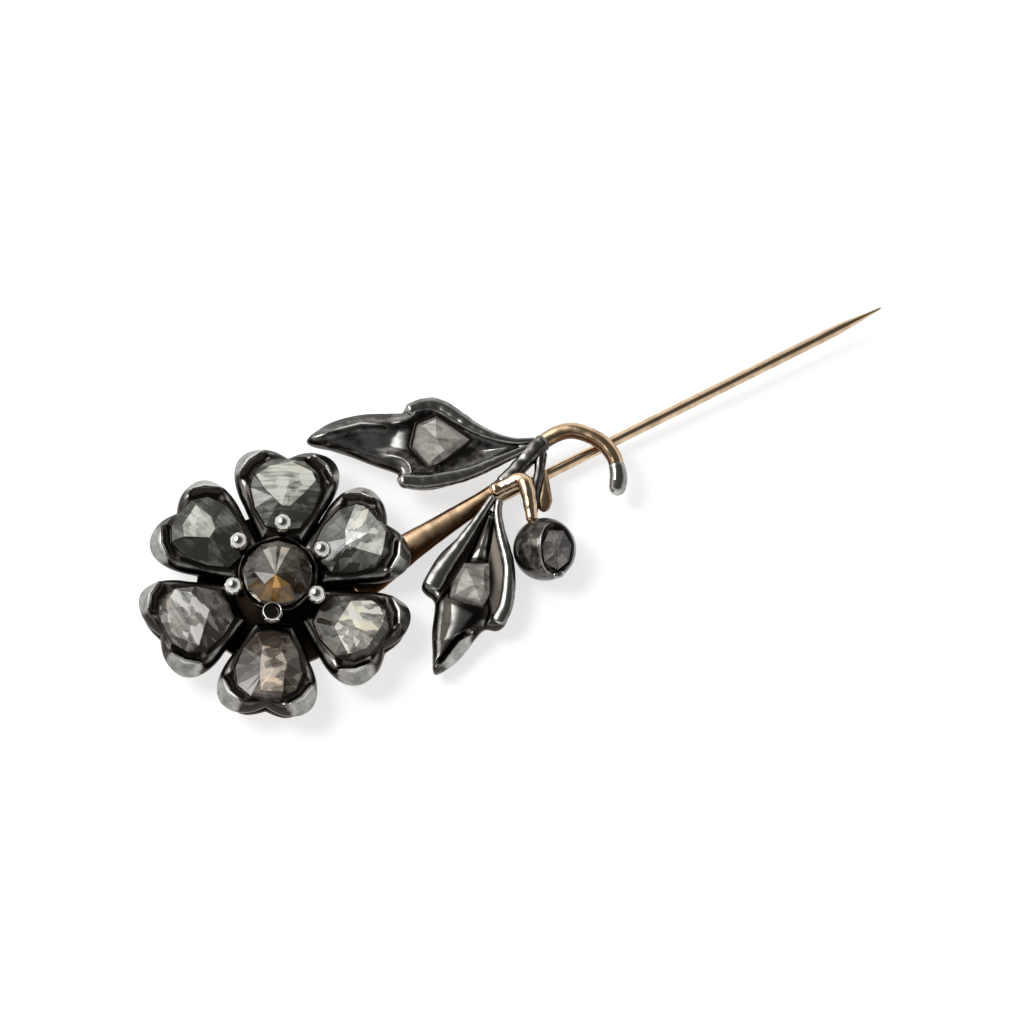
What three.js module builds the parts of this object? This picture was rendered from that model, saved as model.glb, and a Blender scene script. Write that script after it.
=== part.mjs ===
// A flower hat pin: six foil-backed petals round a claw-set centre, a spray of two leaves
// and a bud, and one long gold pin wire. Millimetres, +Z up, flower facing +Z, pin along +X.
// The origin is the middle of the flower's flat back.
import * as THREE from "three";

// ---------- driving dimensions ----------
const GAP = 0.06; // left between pieces that are set into, soldered to or rested on each other
const BEVEL = 0.2; // least width of a stone's sloping facets

const BASE_FLAT_RADIUS = 4.25; // flat middle of the gold plate behind the flower
const BASE_THICKNESS = 0.9;
const BASE_RADIUS = 8.2; // thin dished rim of that plate, which closes the gaps between petals
const BASE_RIM = [0.9, 1.45]; // underside and top of the rim
const HUB_RADIUS = 2.6; // raised middle of the plate, which carries the centre collet
const HUB_TOP = 1.9;

const PETAL_TILT = THREE.MathUtils.degToRad(8); // outer ends stand higher than the inner ends
const PETAL_ROOT_RADIUS = 4.2; // flower axis to a petal's inner end
const PETAL_ROOT_HEIGHT = 1.15; // underside of a petal there
const BACK_THICKNESS = 0.4; // gold sheet that closes a setting from behind
const BACK_SHARE = 0.7; // how far that sheet reaches from the stone's edge to the outline
const FOIL_THICKNESS = 0.15;
const PETAL_SEAT = 1.2; // floor of a petal's well above the setting's underside
const PETAL_LIP = 2.15; // metal beside the stone above the setting's underside
const PETAL_CROWN = 0.8; // sloping part of a petal's stone

const COLLET_RADIUS = [2.7, 4.0]; // outside, at its foot and at its rim
const COLLET_RIM = 6.2; // height of the rim
const COLLET_SCALLOP = 0.22; // how far the rim dips between claws
const COLLET_WALL = 0.35;
const CENTRE_SEAT = 5.35; // ledge that the centre foil lies on
const CENTRE_LEDGE = 0.45; // width of that ledge
const CENTRE_STONE_RADIUS = 3.42;
const CENTRE_GIRDLE_TOP = 6.15;
const CENTRE_STAR = [2.0, 7.4]; // radius and height of the corners of the six large facets
const CENTRE_TABLE = [0.35, 8.0];

const CLAW_COUNT = 6;
const CLAW_BEARING = -4.5; // degrees, first claw from +X
const CLAW_RADIUS = 0.42;
const CLAW_FOOT = 4.0; // height where a claw leaves the collet
const CLAW_HEAD_RADIUS = 0.9;
const CLAW_HEAD_CENTRE = [4.8, 7.3]; // out from the axis, and up

const PIN_RADIUS = 0.55;
const PIN_ROOT = new THREE.Vector3(12.5, -1.5, 0.71);
const PIN_POINT = new THREE.Vector3(67.2, -2.5, 3.1);
const PIN_TAPER = 6.5; // length of the sharpened point

const BUD_CENTRE = new THREE.Vector3(25.1, -9.4, 3.15);
const BUD_RADIUS = 3.15;
const BUD_LEAN = THREE.MathUtils.degToRad(38); // the bud's opening faces this far from straight up
const BUD_BEARING = THREE.MathUtils.degToRad(-20);
const BUD_RIM = THREE.MathUtils.degToRad(38); // latitude where the ball is open
const BUD_SEAT = 0.9;
const BUD_WALL = 0.3;
const BUD_CROWN = 0.8;

const LEAF_SEAT = 0.9;
const LEAF_LIP = 1.8;
const LEAF_CROWN = 0.7;

// ---------- materials ----------
const silver = () => new THREE.MeshStandardMaterial({ color: 0x6b6762, roughness: 0.35, metalness: 1 });
const gold = () => new THREE.MeshStandardMaterial({ color: 0xb98a5a, roughness: 0.25, metalness: 1 });
const foil = () => new THREE.MeshStandardMaterial({ color: 0xd8d2c0, roughness: 0.15, metalness: 1 });
const diamond = () =>
  new THREE.MeshStandardMaterial({ color: 0xcfc9b4, roughness: 0.08, metalness: 0, flatShading: true });

const hatPin = new THREE.Group();

/** Adds one named piece to a group. */
function addPiece(group, name, geometry, material) {
  const mesh = new THREE.Mesh(geometry, material);
  mesh.name = name;
  group.add(mesh);
  return mesh;
}

// ---------- general shapes ----------

/** Closed solid through a stack of closed loops, each anticlockwise from above and listed
 *  from the bottom cap outwards, up and inwards to the top cap. */
function loft(rings) {
  const count = rings[0].length;
  const positions = rings.flat().flatMap((p) => [p.x, p.y, p.z]);
  const index = [];
  for (let level = 0; level < rings.length - 1; level += 1) {
    for (let i = 0; i < count; i += 1) {
      const a = level * count + i;
      const b = level * count + ((i + 1) % count);
      index.push(a, b, b + count, a, b + count, a + count);
    }
  }
  const capCentre = (ring) => {
    const centre = new THREE.Vector3();
    ring.forEach((p) => centre.add(p));
    centre.divideScalar(count);
    positions.push(centre.x, centre.y, centre.z);
    return positions.length / 3 - 1;
  };
  const bottom = capCentre(rings[0]);
  const top = capCentre(rings[rings.length - 1]);
  const lastRing = (rings.length - 1) * count;
  for (let i = 0; i < count; i += 1) {
    const next = (i + 1) % count;
    index.push(bottom, next, i);
    index.push(top, lastRing + i, lastRing + next);
  }
  const geometry = new THREE.BufferGeometry();
  geometry.setAttribute("position", new THREE.Float32BufferAttribute(positions, 3));
  geometry.setIndex(index);
  geometry.computeVertexNormals();
  return geometry;
}

/** A level circle of points. */
function circle(radius, height, count, centreX = 0) {
  return Array.from({ length: count }, (_, i) => {
    const angle = (2 * Math.PI * i) / count;
    return new THREE.Vector3(centreX + radius * Math.cos(angle), radius * Math.sin(angle), height);
  });
}

/** Solid turned about Z from [radius, height] pairs. */
function turned(pairs, segments) {
  const profile = pairs.map(([radius, height]) => new THREE.Vector2(radius, height));
  return new THREE.LatheGeometry(profile, segments).rotateX(Math.PI / 2);
}

/** Straight-line value of a list of [position, value] pairs at a position. */
function along(table, position) {
  const next = table.findIndex(([at]) => at >= position);
  if (next === 0) return table[0][1];
  if (next < 0) return table[table.length - 1][1];
  const [a, b] = [table[next - 1], table[next]];
  return THREE.MathUtils.mapLinear(position, a[0], b[0], a[1], b[1]);
}

/** Rod along a curve with an oval section: width and height are tables over 0 to 1. */
function ovalRod(curve, width, height, sides, steps) {
  const up = new THREE.Vector3(0, 0, 1);
  const rings = [];
  for (let step = 0; step <= steps; step += 1) {
    const t = step / steps;
    const centre = curve.getPointAt(t);
    const tangent = curve.getTangentAt(t);
    const side = up.clone().cross(tangent).normalize();
    const rise = tangent.clone().cross(side);
    const ring = [];
    for (let i = 0; i < sides; i += 1) {
      const angle = (2 * Math.PI * i) / sides;
      ring.push(
        centre
          .clone()
          .addScaledVector(side, (Math.cos(angle) * along(width, t)) / 2)
          .addScaledVector(rise, (Math.sin(angle) * along(height, t)) / 2)
      );
    }
    rings.push(ring);
  }
  return loft(rings);
}

/** How far a star-shaped outline reaches from its own origin in one direction. */
function reach(outline, angle) {
  const direction = new THREE.Vector2(Math.cos(angle), Math.sin(angle));
  let furthest = 0;
  outline.forEach((start, i) => {
    const edge = outline[(i + 1) % outline.length].clone().sub(start);
    const spread = direction.cross(edge);
    if (Math.abs(spread) < 1e-9) return;
    const distance = start.cross(edge) / spread;
    const share = start.cross(direction) / spread;
    if (distance > 0 && share > -1e-6 && share < 1 + 1e-6) furthest = Math.max(furthest, distance);
  });
  return furthest;
}

/** Points from [x, y] pairs, put in order round the origin. */
function outlineOf(pairs) {
  const points = pairs.map(([x, y]) => new THREE.Vector2(x, y));
  return points.sort((a, b) => Math.atan2(a.y, a.x) - Math.atan2(b.y, b.x));
}

/** Directions that hit every corner of both outlines, with near-repeats left out. */
function sharedAngles(outer, inner) {
  const all = [...outer, ...inner].map((p) => Math.atan2(p.y, p.x)).sort((a, b) => a - b);
  return all.filter((angle, i) => i === 0 || angle - all[i - 1] > 0.02);
}

/** One closed-back setting: levels are [share, height], where share runs from 0 at the stone's
 *  edge to 1 at the metal's outline. The well for the stone goes down to the seat. */
function settingGeometry(outer, stone, levels, lip, seat) {
  const angles = sharedAngles(outer, stone);
  const ring = (share, height) =>
    angles.map((angle) => {
      const inside = reach(stone, angle) * 1.02 + GAP;
      const radius = THREE.MathUtils.lerp(inside, reach(outer, angle), share);
      return new THREE.Vector3(radius * Math.cos(angle), radius * Math.sin(angle), height);
    });
  return loft([...levels.map(([share, height]) => ring(share, height)), ring(0, lip), ring(0, seat)]);
}

/** Flat sheet between two heights, following a setting's outline at one share. */
function sheetGeometry(outer, stone, share, low, high) {
  const angles = sharedAngles(outer, stone);
  const ring = (height) =>
    angles.map((angle) => {
      const radius = THREE.MathUtils.lerp(reach(stone, angle), reach(outer, angle), share);
      return new THREE.Vector3(radius * Math.cos(angle), radius * Math.sin(angle), height);
    });
  return loft([ring(low), ring(high)]);
}

/** Rose cut stone: flat underneath, an upright girdle, then facets that slope up to a table
 *  with its own outline. */
function roseCut(girdle, table, bottom, edge, top) {
  const angles = sharedAngles(girdle, table);
  const ring = (distance, height) =>
    angles.map((angle) => {
      const radius = distance(angle);
      return new THREE.Vector3(radius * Math.cos(angle), radius * Math.sin(angle), height);
    });
  const outside = (angle) => reach(girdle, angle);
  const inside = (angle) => Math.min(reach(table, angle), outside(angle) - BEVEL);
  return loft([ring(outside, bottom), ring(outside, edge), ring(inside, top)]);
}

/** A stone setting in all its layers: gold back, silver body, foil and stone. */
function addSetting(group, name, spec) {
  const { outer, stone, table, levels, lip, seat, crown } = spec;
  const foilBottom = seat + GAP;
  const stoneBottom = foilBottom + FOIL_THICKNESS + GAP;
  const back = sheetGeometry(outer, stone, BACK_SHARE, -BACK_THICKNESS - GAP, -GAP);
  addPiece(group, `${name}_back`, back, gold());
  addPiece(group, `${name}_setting`, settingGeometry(outer, stone, levels, lip, seat), silver());
  const foilSheet = sheetGeometry(outer, stone, 0, foilBottom, foilBottom + FOIL_THICKNESS);
  addPiece(group, `${name}_foil`, foilSheet, foil());
  addPiece(group, `${name}_diamond`, roseCut(stone, table, stoneBottom, lip, lip + crown), diamond());
}

// ---------- flower ----------

/** Heart-shaped petal outline: x outwards from the flower, y across. */
function petalOutline(long, wide) {
  const shape = new THREE.Shape();
  shape.moveTo(-5.2, 0);
  shape.lineTo(-5.1, -2.2);
  shape.lineTo(-1.5, -4.1);
  shape.bezierCurveTo(0.9, -5.65, 4.0, -6.0, 4.4, -2.9);
  shape.bezierCurveTo(4.55, -1.6, 4.0, -0.7, 3.65, 0);
  shape.bezierCurveTo(4.0, 0.7, 4.55, 1.6, 4.4, 2.9);
  shape.bezierCurveTo(4.0, 6.0, 0.9, 5.65, -1.5, 4.1);
  shape.lineTo(-5.1, 2.2);
  const points = shape.getPoints(6).map((p) => [p.x * long, p.y * wide]);
  return outlineOf(points);
}

// Wall swelling from the underside, ridge near the outline, groove, then metal up to the stone.
const PETAL_LEVELS = [
  [0.55, 0],
  [0.85, 0.25],
  [1, 0.75],
  [0.92, 1.35],
  [0.7, 1.95],
  [0.45, 1.75],
  [0.14, 2.1],
];

// Girdle that every petal stone shares, as [outwards, across].
const PETAL_GIRDLE = [
  [3.3, 0], [3.3, 1.6], [2.2, 3.1], [0.3, 3.6], [-1.9, 2.9], [-3.7, 1.7],
  [-4.0, 0], [-3.7, -1.7], [-1.9, -2.9], [0.3, -3.6], [2.2, -3.1], [3.3, -1.6],
];

// Bearings are degrees from +X, out is the distance from the flower's axis to the petal's
// middle, long and wide scale the shared outline, and each table is cut to suit its stone.
const PETALS = [
  {
    bearing: 1,
    out: 8.95,
    long: 1,
    wide: 1,
    table: [[1.9, 2.9], [2.7, 2.4], [3.1, -1.2], [1.5, -3.2], [-1.0, -0.3], [-0.3, 1.1]],
  },
  {
    bearing: 57.5,
    out: 9.7,
    long: 1,
    wide: 1,
    table: [
      [1.3, 3.0], [2.4, 1.6], [2.9, -0.5], [2.1, -2.5],
      [1.2, -3.0], [-0.2, -1.9], [-1.6, -0.6], [0.1, 2.1],
    ],
  },
  {
    bearing: 116,
    out: 8.9,
    long: 1.03,
    wide: 0.97,
    table: [[2.6, -1.4], [0.6, -1.3], [-0.4, -0.6], [-0.5, 0.5], [1.6, 2.0], [2.4, 1.1]],
  },
  {
    bearing: 178,
    out: 9.6,
    long: 0.97,
    wide: 1.03,
    table: [[0.6, -3.3], [-0.8, -2.3], [-1.6, 0.1], [1.1, 3.2], [3.2, 0.9], [2.0, -2.3]],
  },
  {
    bearing: 236.5,
    out: 9.75,
    long: 1.05,
    wide: 0.95,
    table: [[-2.0, -0.9], [-1.8, 1.0], [-0.2, 1.8], [0.9, 1.6], [3.0, 1.7], [3.1, -0.5], [1.2, -0.8]],
  },
  {
    bearing: 297.5,
    out: 9.3,
    long: 1,
    wide: 1,
    table: [
      [-1.5, 2.0], [0.3, 3.1], [2.2, 2.9], [2.7, 1.4],
      [2.8, -1.5], [1.6, -3.0], [-0.6, -1.7], [-1.3, -1.2],
    ],
  },
];

function addFlowerBase() {
  const profile = [
    [0, 0],
    [BASE_FLAT_RADIUS, 0],
    [BASE_RADIUS, BASE_RIM[0]],
    [BASE_RADIUS, BASE_RIM[1]],
    [BASE_FLAT_RADIUS, BASE_THICKNESS],
    [HUB_RADIUS, BASE_THICKNESS],
    [HUB_RADIUS, HUB_TOP],
    [0, HUB_TOP],
  ];
  addPiece(hatPin, "flower_base", turned(profile, 48), gold());
}

function addPetals() {
  PETALS.forEach(({ bearing, out, long, wide, table }, i) => {
    const turn = new THREE.Group();
    turn.rotation.z = THREE.MathUtils.degToRad(bearing);
    const tilt = new THREE.Group();
    const rise = (out - PETAL_ROOT_RADIUS) * Math.tan(PETAL_TILT);
    tilt.position.set(out, 0, PETAL_ROOT_HEIGHT + rise + BACK_THICKNESS + GAP);
    tilt.rotation.y = -PETAL_TILT;
    turn.add(tilt);
    hatPin.add(turn);
    addSetting(tilt, `petal_${i + 1}`, {
      outer: petalOutline(long, wide),
      stone: outlineOf(PETAL_GIRDLE.map(([x, y]) => [x * long, y * wide])),
      table: outlineOf(table),
      levels: PETAL_LEVELS,
      lip: PETAL_LIP,
      seat: PETAL_SEAT,
      crown: PETAL_CROWN,
    });
  });
}

/** Outside radius of the centre collet at a height. */
function colletRadius(height) {
  return THREE.MathUtils.mapLinear(height, HUB_TOP, COLLET_RIM, ...COLLET_RADIUS);
}

function addCentre() {
  const count = 36;
  const rim = (radius) =>
    circle(radius, COLLET_RIM, count).map((p, i) => {
      const bearing = (2 * Math.PI * i) / count - THREE.MathUtils.degToRad(CLAW_BEARING);
      p.z -= COLLET_SCALLOP * (1 - Math.cos(CLAW_COUNT * bearing));
      return p;
    });
  const foot = HUB_TOP + GAP;
  const floor = foot + 0.6;
  const waist = 4;
  const collet = loft([
    circle(COLLET_RADIUS[0], foot, count),
    circle(colletRadius(waist), waist, count),
    rim(colletRadius(COLLET_RIM)),
    rim(colletRadius(COLLET_RIM) - COLLET_WALL),
    circle(CENTRE_STONE_RADIUS + GAP, CENTRE_SEAT, count),
    circle(CENTRE_STONE_RADIUS - CENTRE_LEDGE, CENTRE_SEAT, count),
    circle(COLLET_RADIUS[0] - COLLET_WALL, floor, count),
  ]);
  addPiece(hatPin, "centre_collet", collet, silver());

  const foilBottom = CENTRE_SEAT + GAP;
  const foilTop = foilBottom + FOIL_THICKNESS;
  const foilDisc = loft([
    circle(CENTRE_STONE_RADIUS, foilBottom, 24),
    circle(CENTRE_STONE_RADIUS, foilTop, 24),
  ]);
  addPiece(hatPin, "centre_foil", foilDisc, foil());

  // Twelve girdle corners under six large triangles: every other upper point halves an edge.
  const corners = 12;
  const halfway = new THREE.Vector3(Math.cos(Math.PI / 6), Math.cos(Math.PI / 6), 1);
  const star = circle(...CENTRE_STAR, corners).map((p, i) => (i % 2 ? p.multiply(halfway) : p));
  const stone = loft([
    circle(CENTRE_STONE_RADIUS, foilTop + GAP, corners),
    circle(CENTRE_STONE_RADIUS, CENTRE_GIRDLE_TOP, corners),
    star,
    circle(...CENTRE_TABLE, corners),
  ]);
  addPiece(hatPin, "centre_diamond", stone, diamond());
}

/** Six claws: a thin foot against the collet, a neck that leans out, and a round head. */
function addClaws() {
  const [headOut, headUp] = CLAW_HEAD_CENTRE;
  const sides = 10;
  const footLength = 0.3;
  const shoulder = COLLET_RIM - 0.2;
  const neckUp = headUp - CLAW_HEAD_RADIUS * 0.8;
  const beside = (height) => colletRadius(height) + CLAW_RADIUS + GAP;
  const stem = [
    circle(CLAW_RADIUS * 0.8, CLAW_FOOT, sides, beside(CLAW_FOOT)),
    circle(CLAW_RADIUS, CLAW_FOOT + footLength, sides, beside(CLAW_FOOT + footLength)),
    circle(CLAW_RADIUS, shoulder, sides, beside(shoulder)),
  ];
  const head = [-0.55, -0.15, 0.2, 0.5, 0.8].map((share) => {
    const latitude = (share * Math.PI) / 2;
    const radius = CLAW_HEAD_RADIUS * Math.cos(latitude);
    return circle(radius, headUp + CLAW_HEAD_RADIUS * Math.sin(latitude), sides, headOut);
  });
  const neck = circle(CLAW_RADIUS, neckUp, sides, (beside(COLLET_RIM) + headOut) / 2);
  for (let i = 0; i < CLAW_COUNT; i += 1) {
    const turn = new THREE.Group();
    turn.rotation.z = THREE.MathUtils.degToRad(CLAW_BEARING + (360 / CLAW_COUNT) * i);
    addPiece(turn, `centre_claw_${i + 1}`, loft([...stem, neck, ...head]), silver());
    hatPin.add(turn);
  }
}

// ---------- pin and stem ----------

function addPinWire() {
  const axis = PIN_POINT.clone().sub(PIN_ROOT);
  const length = axis.length();
  const rings = [
    [0, 0.9],
    [0.3, 1],
    [length - PIN_TAPER, 1],
    [length - 3, 0.62],
    [length - 1, 0.3],
    [length, 0.1],
  ].map(([distance, share]) => circle(PIN_RADIUS * share, distance, 12));
  const wire = addPiece(hatPin, "pin_wire", loft(rings), gold());
  wire.position.copy(PIN_ROOT);
  wire.quaternion.setFromUnitVectors(new THREE.Vector3(0, 0, 1), axis.normalize());
}

function addMainStem() {
  const path = new THREE.CatmullRomCurve3(
    [
      [8.25, -2.85, 1.17],
      [9.5, -2.75, 1.25],
      [13.2, -2.4, 1.9],
      [18.0, -1.95, 2.2],
      [24.0, -1.4, 2.75],
      [27.6, -0.3, 3.1],
      [30.7, 0.75, 3.45],
      [33.4, 0.35, 3.75],
      [35.3, -1.9, 3.9],
      [35.8, -4.0, 3.75],
      [35.5, -5.5, 3.45],
    ].map((p) => new THREE.Vector3(...p)),
    false,
    "centripetal"
  );
  // Broad and flat behind the flower, thinning to the crook.
  const width = [
    [0, 3.3],
    [0.04, 3.5],
    [0.14, 3.3],
    [0.29, 2.6],
    [0.47, 1.7],
    [0.66, 1.4],
    [0.79, 1.5],
    [1, 1.5],
  ];
  const height = [
    [0, 0.9],
    [0.04, 1.0],
    [0.12, 0.95],
    [0.29, 1.2],
    [0.47, 1.4],
    [1, 1.5],
  ];
  addPiece(hatPin, "main_stem", ovalRod(path, width, height, 12, 48), gold());

  const tip = new THREE.CatmullRomCurve3([
    new THREE.Vector3(35.45, -5.65, 3.42),
    new THREE.Vector3(34.9, -6.7, 3.1),
    new THREE.Vector3(34.1, -7.5, 2.7),
  ]);
  const tipWidth = [[0, 1.5], [0.6, 1.8], [0.9, 1.5], [1, 1.0]];
  addPiece(hatPin, "stem_tip", ovalRod(tip, tipWidth, tipWidth, 12, 6), silver());
}

// ---------- leaves: outlines run towards the tip along x, with y to the left ----------

const LEAF_LEVELS = [
  [0.75, 0],
  [0.94, 0.3],
  [1, 0.9],
  [0.95, 1.5],
  [0.8, 1.9],
  [0.5, 1.3],
  [0.15, 1.75],
];

const LEAVES = [
  {
    name: "upper_leaf",
    middle: [21.2, 5.2, 2.3],
    bearing: 152,
    pitch: -1,
    outer: [
      [13.4, -0.5], [12.2, -1.9], [10.3, -2.9], [7.8, -3.5], [5.2, -3.6], [3.9, -3.6],
      [3.5, -4.2], [2.6, -4.6], [0.9, -4.8], [-0.4, -4.4], [-1.9, -3.4], [-3.8, -2.0],
      [-5.8, -0.9], [-7.4, -0.4], [-8.7, -0.3], [-8.8, 0.2], [-7.6, 0.6], [-5.9, 1.9],
      [-3.8, 3.0], [-2.3, 3.5], [-0.6, 4.2], [1.3, 4.6], [3.0, 4.5], [4.0, 4.2],
      [4.4, 3.6], [4.3, 3.0], [5.0, 2.6], [6.1, 2.2], [7.6, 1.6], [9.2, 0.9], [11.2, 0.2],
    ],
    stone: [[2.2, -2.1], [0.5, -2.9], [-2.6, -0.4], [-0.3, 1.3], [1.1, 2.4], [2.8, 0.2]],
    table: [[1.5, -1.4], [0.3, -1.9], [-1.0, -0.2], [-0.1, 0.5], [0.7, 1.2], [1.6, 0.1]],
  },
  {
    name: "lower_leaf",
    middle: [16.9, -9.3, 1.45],
    bearing: 224,
    pitch: 3.5,
    outer: [
      [9.7, -0.8], [7.5, -1.7], [5.5, -2.4], [3.0, -2.9], [2.3, -3.4], [2.0, -4.2],
      [1.4, -4.8], [0, -4.7], [-2.4, -4.1], [-4.9, -2.8], [-7.2, -1.9], [-8.3, -1.0],
      [-8.3, -0.4], [-7.8, 0.4], [-6.3, 1.7], [-3.5, 3.3], [-1.7, 4.1], [0.3, 4.4],
      [2.5, 4.4], [3.5, 3.8], [3.8, 2.6], [4.9, 2.0], [6.4, 1.5], [8.1, 0.7],
    ],
    stone: [[-1.9, -1.3], [-2.6, 0.9], [0.2, 1.8], [1.7, 1.7], [1.8, 0], [1.7, -1.6], [0.1, -1.7]],
    table: [[-1.0, -0.7], [-1.4, 0.5], [0.1, 1.0], [1.0, 1.0], [1.1, 0], [1.0, -0.9], [0.1, -1.0]],
  },
];

function addLeaves() {
  LEAVES.forEach(({ name, middle, bearing, pitch, outer, stone, table }) => {
    const turn = new THREE.Group();
    turn.position.set(...middle);
    turn.rotation.z = THREE.MathUtils.degToRad(bearing);
    const tilt = new THREE.Group();
    tilt.rotation.y = THREE.MathUtils.degToRad(pitch);
    turn.add(tilt);
    hatPin.add(turn);
    addSetting(tilt, name, {
      outer: outlineOf(outer),
      stone: outlineOf(stone),
      table: outlineOf(table),
      levels: LEAF_LEVELS,
      lip: LEAF_LIP,
      seat: LEAF_SEAT,
      crown: LEAF_CROWN,
    });
  });
}

// ---------- bud ----------

function addBud() {
  const lean = new THREE.Group();
  lean.position.copy(BUD_CENTRE);
  lean.rotation.set(0, BUD_LEAN, BUD_BEARING, "ZYX");
  hatPin.add(lean);

  const steps = 10;
  const ball = Array.from({ length: steps + 1 }, (_, i) => {
    const latitude = THREE.MathUtils.lerp(-Math.PI / 2, BUD_RIM, i / steps);
    return [BUD_RADIUS * Math.cos(latitude), BUD_RADIUS * Math.sin(latitude)];
  });
  ball[0][0] = 0;
  const [rimRadius, rimHeight] = ball[steps];
  const wellRadius = rimRadius - BUD_WALL;
  const well = [
    [wellRadius, rimHeight],
    [wellRadius, BUD_SEAT],
    [0, BUD_SEAT],
  ];
  addPiece(lean, "bud_cup", turned([...ball, ...well], 28), silver());

  const stoneRadius = wellRadius - GAP;
  const foilBottom = BUD_SEAT + GAP;
  const foilTop = foilBottom + FOIL_THICKNESS;
  const foilDisc = loft([circle(stoneRadius, foilBottom, 20), circle(stoneRadius, foilTop, 20)]);
  addPiece(lean, "bud_foil", foilDisc, foil());
  const stone = loft([
    circle(stoneRadius, foilTop + GAP, 8),
    circle(stoneRadius, rimHeight, 8),
    circle(stoneRadius / 2, rimHeight + BUD_CROWN, 8),
  ]);
  addPiece(lean, "bud_diamond", stone, diamond());

  const stalk = new THREE.CatmullRomCurve3(
    [
      [29.1, -1.05, 3.35],
      [28.2, -1.6, 3.6],
      [26.8, -2.8, 3.8],
      [25.6, -4.4, 4.0],
      [25.2, -5.8, 4.1],
    ].map((p) => new THREE.Vector3(...p))
  );
  const thickness = [[0, 1.1], [1, 1.0]];
  addPiece(hatPin, "bud_stalk", ovalRod(stalk, thickness, thickness, 10, 14), gold());
}

function addStalkTab() {
  const spine = new THREE.CatmullRomCurve3([
    new THREE.Vector3(29.3, -1.6, 2.5),
    new THREE.Vector3(28.4, -3.3, 2.75),
    new THREE.Vector3(27.4, -5.0, 2.8),
    new THREE.Vector3(27.0, -5.7, 2.7),
  ]);
  const width = [[0, 0.5], [0.4, 1.1], [0.75, 1.7], [0.92, 1.2], [1, 0.4]];
  const height = [[0, 0.5], [0.6, 0.8], [1, 0.4]];
  addPiece(hatPin, "stalk_tab", ovalRod(spine, width, height, 10, 12), gold());
}

addFlowerBase();
addPetals();
addCentre();
addClaws();
addPinWire();
addMainStem();
addLeaves();
addBud();
addStalkTab();

export default hatPin;
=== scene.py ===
# %% [markdown]
# # A flower hat pin, piece by piece
#
# The object is a hat pin about 81 mm long. Its head is a flower of six petals round one
# claw-set stone, with a spray of two leaves and a bud. Petals and leaves are blackened
# silver with rose cut diamonds set over foil. The stem and the pin wire are red gold.
#
# Every piece below is a surface worked out with numpy: rings of points that are carried
# from one end of the piece to the other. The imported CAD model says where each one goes.

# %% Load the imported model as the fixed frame
import math
import bpy
import numpy as np
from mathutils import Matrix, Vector


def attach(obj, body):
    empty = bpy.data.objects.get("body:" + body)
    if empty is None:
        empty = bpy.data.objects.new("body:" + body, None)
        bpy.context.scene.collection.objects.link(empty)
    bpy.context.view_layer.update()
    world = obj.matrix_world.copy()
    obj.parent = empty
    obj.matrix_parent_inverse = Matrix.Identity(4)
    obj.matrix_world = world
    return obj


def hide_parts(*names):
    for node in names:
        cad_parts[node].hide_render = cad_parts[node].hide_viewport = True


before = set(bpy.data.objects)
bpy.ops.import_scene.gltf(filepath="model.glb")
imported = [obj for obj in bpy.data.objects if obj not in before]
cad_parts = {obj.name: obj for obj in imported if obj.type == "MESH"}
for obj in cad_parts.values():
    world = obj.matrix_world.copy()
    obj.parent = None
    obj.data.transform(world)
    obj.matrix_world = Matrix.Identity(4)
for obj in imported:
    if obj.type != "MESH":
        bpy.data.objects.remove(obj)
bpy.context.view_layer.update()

# %% [markdown]
# ## Camera
#
# The pin lies on a table and is seen from a little in front of straight above, with a
# long lens, so that its far end looks no smaller than its near end. The camera is turned
# about the upright axis until the wire runs up to the right.

# %% Camera
MM = 0.001  # every length below is in millimetres, and one is a thousandth of Blender's unit
VIEW_TURN = math.radians(-28.4)
VIEW_HEIGHT = math.radians(68)
VIEW_CENTRE = Vector((24.75, -3.21, 0.0)) * MM
VIEW_DISTANCE = 1706.7 * MM
back = Vector(
    (
        math.sin(VIEW_TURN) * math.cos(VIEW_HEIGHT),
        -math.cos(VIEW_TURN) * math.cos(VIEW_HEIGHT),
        math.sin(VIEW_HEIGHT),
    )
)
lens = bpy.data.cameras.new("camera")
lens.lens = 600
lens.sensor_width = 36
lens.clip_start = 0.01
lens.clip_end = 20
camera = bpy.data.objects.new("camera", lens)
bpy.context.scene.collection.objects.link(camera)
camera.location = VIEW_CENTRE + back * VIEW_DISTANCE
camera.rotation_mode = "QUATERNION"
camera.rotation_quaternion = (-back).to_track_quat("-Z", "Y")
bpy.context.scene.camera = camera
bpy.context.scene.view_settings.view_transform = "Standard"
print("camera at", [round(c, 3) for c in camera.location])

# %% [markdown]
# ## Light
#
# Jewellery is lit by what surrounds it, because polished metal shows its surroundings.
# The sky here is bright low down and on the left, and dark overhead, so level metal reads
# dark while anything that slopes outwards catches the light. One soft sun from the left
# gives the faint shadow.


# %% Sky and sun
def link(tree, source, output, target, socket):
    """Joins an output of one node to an input of another."""
    tree.links.new(source.outputs[output], target.inputs[socket])


def set_sockets(node, values):
    """Gives inputs, picked by name or number, their plain values."""
    for socket, value in values.items():
        node.inputs[socket].default_value = value


def add_node(tree, kind, values=None, **settings):
    """Makes a node, sets its properties, then the plain values of its inputs."""
    node = tree.nodes.new(kind)
    for key, value in settings.items():
        setattr(node, key, value)
    set_sockets(node, values or {})
    return node


def math_node(tree, operation, first, second=None, clamp=False):
    """A Math node on two values, each a number or (node, output name)."""
    node = add_node(tree, "ShaderNodeMath", operation=operation, use_clamp=clamp)
    for place, value in enumerate((first, second)):
        if isinstance(value, tuple):
            tree.links.new(value[0].outputs[value[1]], node.inputs[place])
        elif value is not None:
            node.inputs[place].default_value = value
    return node


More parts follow.
